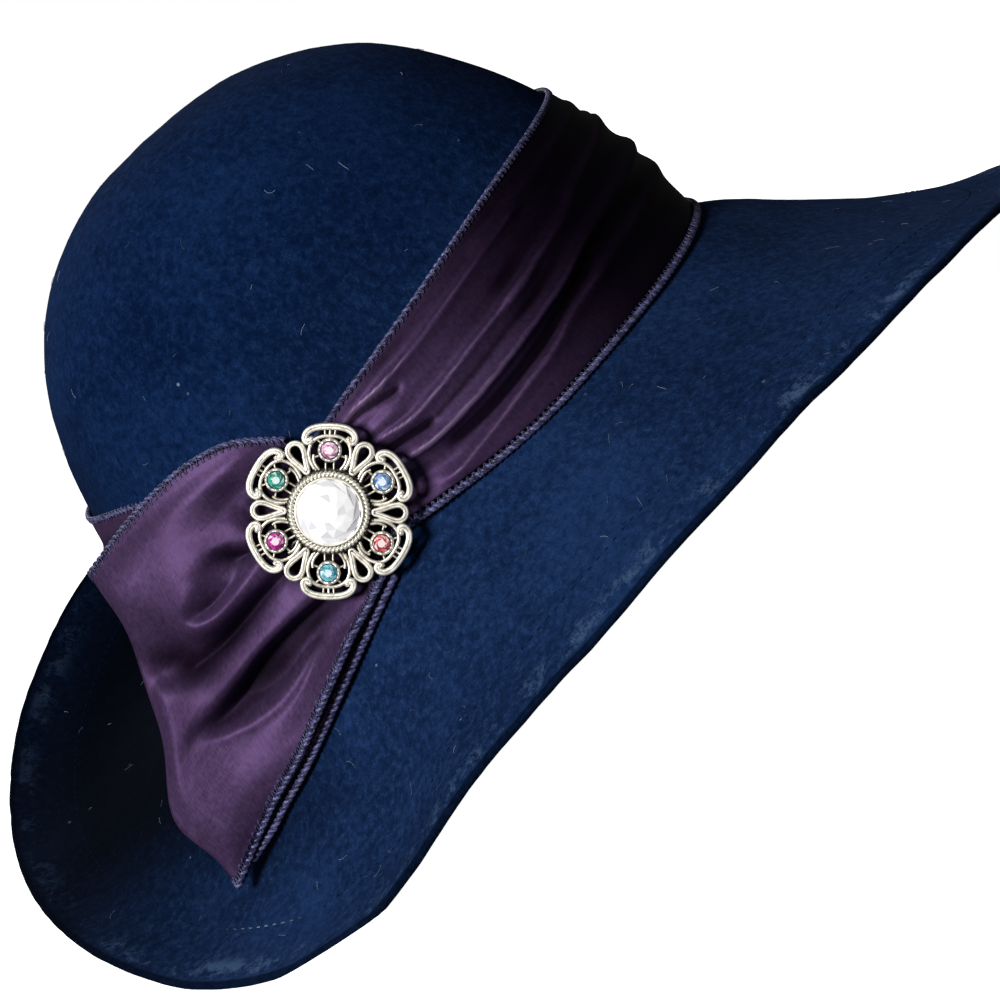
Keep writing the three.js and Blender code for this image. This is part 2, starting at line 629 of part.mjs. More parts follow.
const UP = new THREE.Vector3(0, 0, 1);
addPiece('felt_body', feltGeometry(), felt);
addPiece('ribbon_band', bandGeometry(), ribbon);
addPiece('band_edge_cord_upper', strand(bandCordUpper(), BAND_CORD_TOP, 5, { ring: true, up: UP }), cord);
addPiece('band_edge_cord_lower', strand(bandCordLower(), BAND_CORD, 5, { ring: true, up: UP }), cord);
addPiece('ribbon_loop', loopGeometry(), ribbon);
addPiece('loop_edge_cord_upper', strand(loopCord(1, LOOP_CORD_TOP), LOOP_CORD_TOP, 5, { up: UP }), cord);
addPiece('loop_edge_cord_lower', strand(loopCord(0, LOOP_CORD), LOOP_CORD, 5, { up: UP }), cord);

const brooch = new THREE.Group();
const facing = polar(BROOCH_FACING.azimuth, 1, 0).sub(new THREE.Vector3(CROWN_CENTRE_X, 0, 0));
facing.multiplyScalar(Math.cos(rad(BROOCH_FACING.elevation))).setZ(Math.sin(rad(BROOCH_FACING.elevation)));
const broochRight = new THREE.Vector3().crossVectors(UP, facing).normalize();
const broochUp = new THREE.Vector3().crossVectors(facing, broochRight);
brooch.quaternion.setFromRotationMatrix(new THREE.Matrix4().makeBasis(broochRight, broochUp, facing));
brooch.position.copy(BROOCH_CENTRE);
hat.add(brooch);
addPiece('brooch_frame', broochGeometry(), silver, brooch);
addPiece('centre_stone', centreStoneGeometry(), finish(0xe9ecef, 0.08), brooch);
for (const { name, turn, colour } of STONES) {
  const stone = addPiece(name, smallStoneGeometry(), finish(colour, 0.12), brooch);
  const a = rad(turn + BROOCH_TURN);
  stone.position.set(CUP.at * Math.cos(a), CUP.at * Math.sin(a), 0);
}
const pin = new THREE.CylinderGeometry(PIN.radius, PIN.radius, PIN.length, 8).rotateZ(Math.PI / 2);
addPiece('brooch_pin', pin.translate(0, 0, -PIN.drop), steel, brooch);

hat.updateMatrixWorld(true);
export default hat;
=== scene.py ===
"""The looks of a navy wool felt cloche with a gathered ribbon and a stone-set brooch.

Surfaces are worked out in millimetres in the crown's own frame, by the same formulas as the solid
part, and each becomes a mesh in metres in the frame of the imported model. Azimuths are degrees
from +X towards +Y, round the crown's axis.
"""

from __future__ import annotations

import json
import logging
import math
from dataclasses import dataclass, field
from enum import Enum
from typing import Any, Sequence

import bpy
import numpy as np
from mathutils import Matrix, Vector
from numpy.typing import NDArray

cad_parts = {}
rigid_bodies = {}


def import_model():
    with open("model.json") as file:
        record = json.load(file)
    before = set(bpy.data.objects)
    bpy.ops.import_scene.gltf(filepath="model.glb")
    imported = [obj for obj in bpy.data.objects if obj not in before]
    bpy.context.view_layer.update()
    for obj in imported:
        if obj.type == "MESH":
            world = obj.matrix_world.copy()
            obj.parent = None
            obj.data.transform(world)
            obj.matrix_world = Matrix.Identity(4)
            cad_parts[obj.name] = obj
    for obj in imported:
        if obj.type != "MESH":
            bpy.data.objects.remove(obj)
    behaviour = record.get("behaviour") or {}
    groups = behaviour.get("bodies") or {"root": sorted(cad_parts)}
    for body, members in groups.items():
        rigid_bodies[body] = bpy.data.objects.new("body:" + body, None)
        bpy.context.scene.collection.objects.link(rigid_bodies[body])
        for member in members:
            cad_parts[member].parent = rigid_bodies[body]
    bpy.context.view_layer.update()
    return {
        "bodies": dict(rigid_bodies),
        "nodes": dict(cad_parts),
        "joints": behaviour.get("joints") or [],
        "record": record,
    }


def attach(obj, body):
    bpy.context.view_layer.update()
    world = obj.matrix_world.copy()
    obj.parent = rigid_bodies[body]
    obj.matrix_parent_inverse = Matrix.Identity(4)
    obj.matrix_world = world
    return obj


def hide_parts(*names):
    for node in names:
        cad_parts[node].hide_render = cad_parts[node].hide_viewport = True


Array = NDArray[np.float64]
Colour = tuple[float, float, float]
Pairs = tuple[tuple[float, float], ...]
Triples = tuple[tuple[float, float, float], ...]
Material = bpy.types.Material
Piece = bpy.types.Object
log = logging.getLogger("hat")

MM = 0.001
FOOTPRINT_SHIFT = np.array([0.4, -6.6, 0.0])
UP = np.array([0.0, 0.0, 1.0])


class Slot(Enum):
    """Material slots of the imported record."""

    FELT = "navy_felt"
    RIBBON = "purple_ribbon"
    CORD = "navy_cord"
    SILVER = "antique_silver"
    CLEAR = "clear_stone"
    STEEL = "pin_steel"


class Held(Enum):
    """How a sheet of cloth is held."""

    GATHERED = "gathered"
    FOLDED = "folded"


# Plain geometry


def unit(vectors: Array) -> Array:
    """Vectors of length one along the last axis."""
    return vectors / np.maximum(np.linalg.norm(vectors, axis=-1, keepdims=True), 1e-12)


def smoothstep(x: Array | float, low: float, high: float) -> Array:
    """0 below low and 1 above high, with a smooth rise between."""
    t = np.clip((np.asarray(x, float) - low) / (high - low), 0, 1)
    return t * t * (3 - 2 * t)


def lerp(a: Array | float, b: Array | float, t: Array | float) -> Array:
    """The value a share t of the way from a to b."""
    return a + (b - a) * t


def bell(x: Array) -> Array:
    """1 at zero, falling smoothly to nothing on both sides."""
    return np.exp(-(x**2))


def ripple(points: Array, wave: float, seed: int, count: int = 18) -> Array:
    """Soft unevenness between about -1 and 1: a sum of plane waves in random directions.

    Args:
        points: places, in millimetres.
        wave: the typical wavelength, in millimetres.
        seed: start of the random draws.
        count: how many waves are summed.

    Returns:
        One number for each place.
    """
    rng = np.random.default_rng(seed)
    directions = unit(rng.normal(size=(count, 3))) * rng.uniform(0.6, 1.6, (count, 1))
    phases = rng.uniform(0, 2 * np.pi, count)
    total = np.zeros(points.shape[:-1])
    for direction, phase in zip(directions, phases):
        total += np.sin(points @ direction * 2 * np.pi / wave + phase)
    return total / math.sqrt(count)


def slopes(points: Array, closed: bool, axis: int = 0) -> Array:
    """Differences between neighbours along an axis, whose ends meet where it is closed."""
    if closed:
        return np.roll(points, -1, axis=axis) - np.roll(points, 1, axis=axis)
    return np.gradient(points, axis=axis)


def grid_normals(middle: Array, wrap: bool) -> Array:
    """Unit normals of a grid of points: the column direction crossed with the row direction."""
    return unit(np.cross(slopes(middle, wrap, axis=1), np.gradient(middle, axis=0)))


def joined(path: Array, closed: bool) -> Array:
    """The path, with its first point once more at its end where it is closed."""
    return np.concatenate([path, path[:1]]) if closed else path


def travelled(path: Array) -> Array:
    """The way from the first point to each point of a path, or of many paths side by side."""
    steps = np.linalg.norm(np.diff(path, axis=0), axis=-1)
    return np.concatenate([np.zeros((1,) + steps.shape[1:]), np.cumsum(steps, axis=0)])


def turned(radius: Array | float, z: Array | float, angle: Array | float) -> Array:
    """Points round the vertical axis: how far from it, how high and at what angle in radians."""
    r, z, a = np.broadcast_arrays(radius, z, angle)
    return np.stack([r * np.cos(a), r * np.sin(a), z], -1)


def spun(line: Array, degrees: float) -> Array:
    """Flat points, turned round the origin."""
    c, s = math.cos(math.radians(degrees)), math.sin(math.radians(degrees))
    return line @ np.array([[c, s], [-s, c]])


def hermite(
    f: Array, first: Array, last: Array, width: Array, leave: Array, arrive: Array
) -> Array:
    """A cubic from one value to the next.

    Args:
        f: places from 0 at the first value to 1 at the last.
        first: the value at 0.
        last: the value at 1.
        width: the distance between them.
        leave: the slope at 0.
        arrive: the slope at 1.

    Returns:
        The value at each place.
    """
    return (
        (2 * f**3 - 3 * f**2 + 1) * first
        + (f**3 - 2 * f**2 + f) * width * leave
        + (3 * f**2 - 2 * f**3) * last
        + (f**3 - f**2) * width * arrive
    )


def curve_at(points: Array, place: Array) -> Array:
    """The Catmull-Rom curve through points, its ends held, at places counted in points."""
    last = len(points) - 1
    k = np.minimum(np.floor(place).astype(int), last - 1)
    f = (place - k)[..., None]
    a, b, c, d = (points[np.clip(k + j, 0, last)] for j in (-1, 0, 1, 2))
    bend, twist = 2 * a - 5 * b + 4 * c - d, 3 * b - a - 3 * c + d
    return 0.5 * (2 * b + (c - a) * f + bend * f**2 + twist * f**3)


def smooth_path(points: Sequence[Sequence[float]], per_span: int = 8) -> Array:
    """A curve through given points, with even steps from each to the next."""
    p = np.array(points, float)
    return curve_at(p, np.arange((len(p) - 1) * per_span + 1) / per_span)


def slab(middle: Array, half: float, wrap: bool, steps: int = 3) -> Array:
    """Cross loops of a cloth of even thickness.

    A loop goes up the face the normals point from, over the top edge in a half circle, down the
    other face and round the lower edge.

    Args:
        middle: the cloth's middle surface, rows going up.
        half: half the thickness.
        wrap: whether the last column joins the first.
        steps: points of each rounded edge.

    Returns:
        A grid whose rows close on themselves.
    """
    normal = grid_normals(middle, wrap)
    rise = unit(np.gradient(middle, axis=0))
    turn = (np.pi * np.arange(1, steps + 1) / (steps + 1))[:, None, None]
    over = middle[-1] + half * (np.cos(turn) * normal[-1] + np.sin(turn) * rise[-1])
    under = middle[0] - half * (np.cos(turn) * normal[0] + np.sin(turn) * rise[0])
    return np.concatenate([middle + half * normal, over, (middle - half * normal)[::-1], under])


def slab_rows(v: Array, steps: int = 3) -> Array:
    """The pattern coordinate of a slab's rows, with the first row once more at the end."""
    top = np.full(steps, v[-1])
    bottom = np.full(steps + 1, v[0])
    return np.concatenate([v, top, v[::-1], bottom])


def slab_tone(tone: Array, steps: int = 3) -> Array:
    """The tone of a slab's rows: the middle surface's on both faces, none on its edges."""
    edge = np.zeros((steps,) + tone.shape[1:])
    return np.concatenate([tone, edge, tone[::-1], edge])


def both(first: Array, second: Array) -> Array:
    """Two shares of darkness laid one over the other."""
    return 1 - (1 - first) * (1 - second)


def pattern(u: Array, v: Array) -> Array:
    """Pattern coordinates of a grid with columns at u and rows at v."""
    return np.stack(np.meshgrid(u, v), -1)


def sweep(centres: Array, lift: Array, outline: Array, closed: bool) -> Array:
    """Carries an outline along a path.

    Args:
        centres: the path.
        lift: for each centre, the direction the outline's second axis leans to.
        outline: points of the cross-section, anticlockwise.
        closed: whether the path's end joins its start.

    Returns:
        Points shaped (sides, centres, 3).
    """
    tangent = unit(slopes(centres, closed))
    over = unit(lift - np.sum(lift * tangent, -1, keepdims=True) * tangent)
    across, up = outline[:, None, :1], outline[:, None, 1:]
    return centres + across * np.cross(tangent, over) + up * over


def circle(sides: int, radius: float = 1.0) -> Array:
    """Points of a circle, anticlockwise."""
    a = 2 * np.pi * np.arange(sides) / sides
    return radius * np.stack([np.cos(a), np.sin(a)], -1)


def spaced(path: Array, step: float, closed: bool) -> Array:
    """The path's points at even steps along its length; a closed one isn't repeated at its end."""
    path = joined(path, closed)
    length = travelled(path[:, :3])
    count = max(int(round(length[-1] / step)), 3)
    at = np.linspace(0, length[-1], count + 1)[: count if closed else count + 1]
    return np.stack([np.interp(at, length, column) for column in path.T], -1)


@dataclass
class Skin:
    """Points, faces and pattern coordinates of one piece, in millimetres, while it is built."""

    points: list[Array] = field(default_factory=list)
    tones: list[Array] = field(default_factory=list)
    faces: list[Array] = field(default_factory=list)
    corners: list[Array] = field(default_factory=list)
    count: int = 0

    def store(self, points: Array, tone: Array | float) -> int:
        """Keeps points and their tone, and returns the number of the first one."""
        flat = points.reshape(-1, 3)
        self.points.append(flat)
        self.tones.append(np.broadcast_to(np.asarray(tone, float), points.shape[:-1]).reshape(-1))
        first = self.count
        self.count += len(flat)
        return first

    def grid(
        self,
        points: Array,
        uv: Array | None = None,
        tone: Array | float = 0.0,
        wrap_rows: bool = False,
        wrap_columns: bool = False,
    ) -> Array:
        """Adds a grid of quads whose normals are the column crossed with the row direction.

        Args:
            points: shaped (rows, columns, 3).
            uv: pattern coordinates, one row or column more where the grid wraps.
            tone: a number for each point, kept as an attribute.
            wrap_rows: whether the last row joins the first.
            wrap_columns: whether the last column joins the first.

        Returns:
            The points' numbers, shaped (rows, columns).
        """
        rows, columns = points.shape[:2]
        ids = self.store(points, tone) + np.arange(rows * columns).reshape(rows, columns)
        full = ids[
            np.ix_(np.arange(rows + wrap_rows) % rows, np.arange(columns + wrap_columns) % columns)
        ]
        if uv is None:
            uv = pattern(np.arange(full.shape[1]) * 1.0, np.arange(full.shape[0]) * 1.0)
        for source, kept in ((full, self.faces), (uv, self.corners)):
            around = [source[:-1, :-1], source[:-1, 1:], source[1:, 1:], source[1:, :-1]]
            stacked = np.stack(around, axis=2)
            kept.append(stacked.reshape((-1, 4) + source.shape[2:]))
        return ids

    def fan(self, ring: Array, centre: Array, tone: float = 0.0) -> None:
        """Closes a ring of point numbers with triangles to a centre.

        Their normals follow the ring's direction by the right hand.
        """
        tip = self.store(np.asarray(centre, float)[None], tone)
        after = np.roll(ring, -1)
        self.faces.append(np.stack([ring, after, np.full_like(ring, tip)], -1))
        self.corners.append(np.zeros((len(ring), 3, 2)))

    def quads(self, ids: Array) -> None:
        """Adds faces between points that are already there, with no pattern of their own."""
        self.faces.append(ids)
        self.corners.append(np.zeros(ids.shape + (2,)))

    def tube(
        self,
        centres: Array,
        lift: Array,
        outline: Array,
        closed: bool,
        tone: Array | float = 0.0,
    ) -> None:
        """Adds a swept tube, capped where it is open, with u along it and v round it."""
        points = sweep(centres, lift, outline, closed)
        length = travelled(joined(centres, closed))
        uv = pattern(length, np.linspace(0, 1, len(points) + 1))
        ids = self.grid(points, uv, tone, wrap_rows=True, wrap_columns=closed)
        if not closed:
            level = np.broadcast_to(np.asarray(tone, float), points.shape[:-1])
            self.fan(ids[::-1, 0], points[:, 0].mean(0), float(level[0, 0]))
            self.fan(ids[:, -1], points[:, -1].mean(0), float(level[0, -1]))

    def to_object(self, name: str, smooth: bool = True) -> Piece:
        """Makes the piece's mesh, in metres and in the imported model's frame.

        Args:
            name: the piece's name.
            smooth: whether its faces are shaded smooth.

        Returns:
            The new object, linked to the scene.
        """
        points = (np.concatenate(self.points) + FOOTPRINT_SHIFT) * MM
        sizes = np.concatenate([np.full(len(f), f.shape[1]) for f in self.faces])
        corners = np.concatenate([f.reshape(-1) for f in self.faces]).astype(np.int32)
        uv = np.concatenate([c.reshape(-1, 2) for c in self.corners]) * MM
        mesh = bpy.data.meshes.new(name)
        mesh.vertices.add(len(points))
        mesh.vertices.foreach_set("co", points.ravel())
        mesh.loops.add(len(corners))
        mesh.loops.foreach_set("vertex_index", corners)
        mesh.polygons.add(len(sizes))
        starts = np.concatenate([[0], np.cumsum(sizes)[:-1]]).astype(np.int32)
        mesh.polygons.foreach_set("loop_start", starts)
        mesh.polygons.foreach_set("use_smooth", np.full(len(sizes), smooth))
        layer = mesh.uv_layers.new(name="pattern")
        layer.uv.foreach_set("vector", uv.ravel())
        mesh.attributes.new("tone", "FLOAT", "POINT").data.foreach_set(
            "value", np.concatenate(self.tones)
        )
        mesh.update(calc_edges=True)
        if mesh.validate():
            log.warning("%s had faces that were mended", name)
        piece = bpy.data.objects.new(name, mesh)
        bpy.context.scene.collection.objects.link(piece)
        return piece


@dataclass(frozen=True)
class RoundTable:
    """Smooth closed curves through rows that each start with an azimuth.

    Between rows the curve is a cubic whose slope at a row weighs both neighbours by distance.
    """

    rows: tuple[tuple[float, ...], ...]

    def at(self, column: int, azimuth: Array) -> Array:
        """One column's value at each azimuth."""
        table = np.array(self.rows)
        t, v = table[:, 0], table[:, column]
        x = (np.asarray(azimuth, float) - t[0]) % 360.0 + t[0]
        times = np.concatenate([[t[-1] - 360], t, [t[0] + 360]])
        values = np.concatenate([v[-1:], v, v[:1]])
        gap = np.diff(times)
        rise = np.diff(values) / gap
        slope = (rise[:-1] * gap[1:] + rise[1:] * gap[:-1]) / (gap[:-1] + gap[1:])
        slope = np.append(slope, slope[0])
        times, values = times[1:], values[1:]
        k = np.clip(np.searchsorted(times, x, side="right") - 1, 0, len(t) - 1)
        width = times[k + 1] - times[k]
        f = (x - times[k]) / width
        return hermite(f, values[k], values[k + 1], width, slope[k], slope[k + 1])


@dataclass(frozen=True)
class Crease:
    """A long fold or hollow of cloth along a line of places, steeper on one side if wanted."""

    high: float
    left: float  # half width on the left of the line's direction, in millimetres
    right: float
    line: Pairs
    power: float = 2.0
    taper: float = 11.0  # how far from each end it reaches its full height, in millimetres

    def height(self, x: Array, y: Array, scale: Sequence[float]) -> Array:
        """How far the crease lifts the cloth at each place.

        The height falls off with the distance to the line of places, in the cloth's plane, and
        along the line towards both its ends.

        Args:
            x: first coordinate of the places, in millimetres.
            y: second coordinate.
            scale: what turns the line's own numbers into those coordinates.

        Returns:
            The lift in millimetres.
        """
        near = np.full(np.broadcast(x, y).shape, np.inf)
        aside, run = np.zeros(near.shape), np.zeros(near.shape)
        passed = 0.0
        spots = smooth_path(self.line, 4) * np.array(scale)
        for start, end in zip(spots[:-1], spots[1:]):
            dx, dy = end - start
            t = ((x - start[0]) * dx + (y - start[1]) * dy) / (dx * dx + dy * dy)
            t = np.clip(t, 0, 1)
            ox, oy = x - start[0] - t * dx, y - start[1] - t * dy
            distance, long = np.hypot(ox, oy), math.hypot(dx, dy)
            closer = distance < near
            near = np.where(closer, distance, near)
            aside = np.where(closer, (dx * oy - dy * ox) / long, aside)
            run = np.where(closer, passed + t * long, run)
            passed += long
        lean = aside / np.maximum(near, 1e-6)
        width = (self.left + self.right) / 2 + (self.left - self.right) / 2 * lean
        taper = min(self.taper, passed / 2)
        ends = smoothstep(run, 0, taper) * smoothstep(passed - run, 0, taper)
        return self.high * ends * np.exp(-((near / width) ** self.power))


@dataclass(frozen=True)
class Relief:
    """Folds of cloth given by lines that run across a picture of it, one above the other.

    Each line is a row of places (x, z, out): where it passes and how far the cloth stands out.
    """

    lines: tuple[Triples, ...]

    def around(self, x: Array, z: Array, reach: float) -> Array:
        """The mean lift at eight places round each place, at a distance of reach."""
        ring = circle(8, reach)
        return sum(self.height(x + dx, z + dz) for dx, dz in ring) / len(ring)

    def height(self, x: Array, z: Array) -> Array:
        """How far the cloth stands out at each place.

        At each x the lines give a column of heights and lifts, which a cubic joins without
        overshooting: its slope at a line is the harmonic mean of the slopes beside it.

        Args:
            x: sideways places, in millimetres.
            z: heights, in millimetres.

        Returns:
            The lift in millimetres.
        """
        levels, lifts = [], []
        for line in self.lines:
            curve = smooth_path(line)
            levels.append(np.interp(-x, -curve[:, 0], curve[:, 1]))
            lifts.append(np.interp(-x, -curve[:, 0], curve[:, 2]))
        level, lift = np.stack(levels[::-1], -1), np.stack(lifts[::-1], -1)
        for k in range(1, level.shape[-1]):
            level[..., k] = np.maximum(level[..., k], level[..., k - 1] + 0.3)
        rise = np.diff(lift, axis=-1) / np.diff(level, axis=-1)
        below, above = rise[..., :-1], rise[..., 1:]
        same = below * above > 0
        slope = np.zeros_like(lift)
        total = np.where(same, below + above, 1.0)
        slope[..., 1:-1] = np.where(same, 2 * below * above / total, 0)
        k = np.clip(np.sum(level < z[..., None], -1) - 1, 0, level.shape[-1] - 2)[..., None]
        z0, z1, h0, h1, s0, s1 = (
            np.take_along_axis(values, k + step, -1)[..., 0]
            for values in (level, lift, slope)
            for step in (0, 1)
        )
        f = np.clip((z - z0) / (z1 - z0), 0, 1)
        return hermite(f, h0, h1, z1 - z0, s0, s1)


# Shape of the hat


@dataclass(frozen=True)
class Felt:
    """The blocked felt: an oval dome and a brim that droops on one side and turns up on the other."""

    thickness: float = 2.2
    centre_x: float = 1.0
    half_long: float = 103.0
    half_wide: float = 87.0
    break_z: float = 62.0
    apex_z: float = 190.0
    lean: float = -5.0
    dome_round: float = 2.5
    resting_edge_z: float = 0.2
    handle: float = 0.4  # length of the brim section's handles, as a share of its chord
    columns: int = 384
    brim_rows: int = 62
    crown_rows: int = 46
    edge_rows: int = 9
    last_row: float = 88.4  # degrees up the dome where its rows end and a fan closes it
    apex_rise: float = 0.02
    # unevenness of the face: height and wavelength in millimetres, and seed
    waves: tuple[tuple[float, float, int], ...] = ((0.3, 60, 3), (0.1, 17, 5), (0.035, 5.5, 8))
    # azimuth, reach, edge height, slope leaving the crown, slope at the edge
    brim: RoundTable = RoundTable(
        (
            (-40, 182, 21, -40, -22), (-15, 192, 6, -38, -12), (0, 188, 2, -34, -16),
            (16, 178, -0.4, -32, -36), (35, 171, 0.2, -33, -34), (62, 171, -4, -34, -10),
            (85, 169, 20, -28, 10), (108, 172, 66, -22, 34), (130, 180, 91, -20, 52),
            (150, 189, 80, -24, 54), (170, 192, 59, -30, 42), (190, 190, 36, -36, 28),
            (210, 183, 8, -42, 14), (230, 172, -0.6, -44, 0), (250, 161, 14, -42, -12),
            (270, 156, 21, -38, -18), (295, 163, 25, -38, -22),
        )
    )

    def polar(self, azimuth: Array, radius: Array, z: Array) -> Array:
        """Points at an azimuth, a distance from the crown's axis and a height."""
        p = turned(radius, z, np.radians(azimuth))
        p[..., 0] += self.centre_x
        return p

    def oval(self, azimuth: Array) -> Array:
        """Radius of the crown's oval foot."""
        a = np.radians(azimuth)
        across = np.hypot(self.half_wide * np.cos(a), self.half_long * np.sin(a))
        return self.half_long * self.half_wide / across

    def crown(self, azimuth: Array, z: Array) -> Array:
        """The crown's middle surface: the oval, shrunk by a round power of the height."""
        h = np.clip((z - self.break_z) / (self.apex_z - self.break_z), 0, 1)
        radius = self.oval(azimuth) * (1 - h**2) ** (1 / self.dome_round)
        p = self.polar(azimuth, radius, z)
        p[..., 0] += self.lean * np.broadcast_to(h, p.shape[:-1]) ** 2
        return p

    def crown_normal(self, azimuth: Array, z: Array) -> Array:
        """Unit normal of the crown, by differences."""
        along = self.crown(azimuth + 0.5, z) - self.crown(azimuth - 0.5, z)
        up = self.crown(azimuth, z + 0.5) - self.crown(azimuth, z - 0.5)
        return unit(np.cross(along, up))

    def brim_section(self, azimuth: Array, u: Array) -> tuple[Array, Array]:
        """Radius and height of the brim, 0 at the crown and 1 at the edge.

        At each azimuth the brim is a cubic from the crown's foot to the edge, whose handles are
        a share of the chord's length.
        """
        reach, free_z, leave, edge = (self.brim.at(k, azimuth) for k in (1, 2, 3, 4))
        edge_z = np.maximum(free_z, self.resting_edge_z)
        start = self.oval(azimuth)
        handle = self.handle * np.hypot(reach - start, edge_z - self.break_z)
        leave, edge = np.radians(leave), np.radians(edge)
        w = [(1 - u) ** 3, 3 * u * (1 - u) ** 2, 3 * u**2 * (1 - u), u**3]
        first = start + handle * np.cos(leave)
        second = reach - handle * np.cos(edge)
        low = self.break_z + handle * np.sin(leave)
        high = edge_z - handle * np.sin(edge)
        radius = w[0] * start + w[1] * first + w[2] * second + w[3] * reach
        z = w[0] * self.break_z + w[1] * low + w[2] * high + w[3] * edge_z
        return radius, z

    def brim_height(self, azimuth: Array, radius: Array) -> Array:
        """Height of the brim's middle surface at a radius, by halving."""
        low = np.zeros(np.broadcast(azimuth, radius).shape)
        high = np.ones(low.shape)
        for _ in range(24):
            mid = (low + high) / 2
            short = self.brim_section(azimuth, mid)[0] < radius
            low = np.where(short, mid, low)
            high = np.where(short, high, mid)
        return self.brim_section(azimuth, low)[1]

    def middle(self) -> Array:
        """The felt's middle surface from the edge to near the apex, rows closer near the foot."""
        azimuth = np.arange(self.columns) * 360 / self.columns
        t = np.linspace(0, 1, self.brim_rows)
        u = 1 - (0.75 * t + 0.25 * t**2)
        radius, z = self.brim_section(azimuth[None, :], u[:, None])
        brim = self.polar(azimuth[None, :], radius, z)
        rise = np.sin(np.radians(np.linspace(0, self.last_row, self.crown_rows + 1)[1:]))
        height = self.break_z + (self.apex_z - self.break_z) * rise
        crown = self.crown(azimuth[None, :], height[:, None])
        grid = np.concatenate([brim, crown])
        turn = self.brim_rows - 1
        for _ in range(3):  # eases the bend at the crown's foot
            below, above = grid[turn - 5 : turn + 3], grid[turn - 3 : turn + 5]
            grid[turn - 4 : turn + 4] = (below + 2 * grid[turn - 4 : turn + 4] + above) / 4
        return grid

    def relief(self, grid: Array) -> Array:
        """Unevenness of the felt's face in millimetres: slow waves of the block and small lumps."""
        return sum(high * ripple(grid, wave, seed) for high, wave, seed in self.waves)

    def build(self, finish: Material) -> Piece:
        """Makes the felt as one closed shell with a rounded raw edge.

        Rows go down inside from the apex, round the edge and up outside, and a fan closes the
        apex on both faces.
        """
        middle = self.middle()
        normal = grid_normals(middle, wrap=True)
        settled = smoothstep(middle[..., 2], 0.2, 4)[..., None]
        middle = middle + normal * self.relief(middle)[..., None] * settled
        normal = grid_normals(middle, wrap=True)
        half = self.thickness / 2
        outward = -unit(middle[1] - middle[0])
        turn = np.linspace(-np.pi / 2, np.pi / 2, self.edge_rows)[:, None, None]
        soft = 0.86 + 0.1 * ripple(middle[0], 9, 12)[None, :, None]
        edge = middle[0] + half * (np.cos(turn) * outward * soft + np.sin(turn) * normal[0])
        inner = (middle[1:] - half * normal[1:])[::-1]
        outer = middle[1:] + half * normal[1:]
        grid = np.concatenate([inner, edge, outer])
        grid[..., 2] = np.maximum(grid[..., 2], 0)
        away = travelled(middle)
        rim = np.tile(away[:1], (self.edge_rows, 1))
        tone = np.concatenate([away[1:][::-1], rim, away[1:]])
        skin = Skin()
        round_mm = np.linspace(0, 2 * np.pi * 120, self.columns + 1)
        ids = skin.grid(grid, pattern(round_mm, tone[:, 0]), tone, wrap_columns=True)
        for row, flip in ((0, -1), (-1, 1)):
            tip = grid[row].mean(0) + UP * self.apex_rise
            skin.fan(ids[row][::flip], tip, float(tone[row, 0]))
        return dress(skin.to_object("wool_felt"), finish, "felt_body")


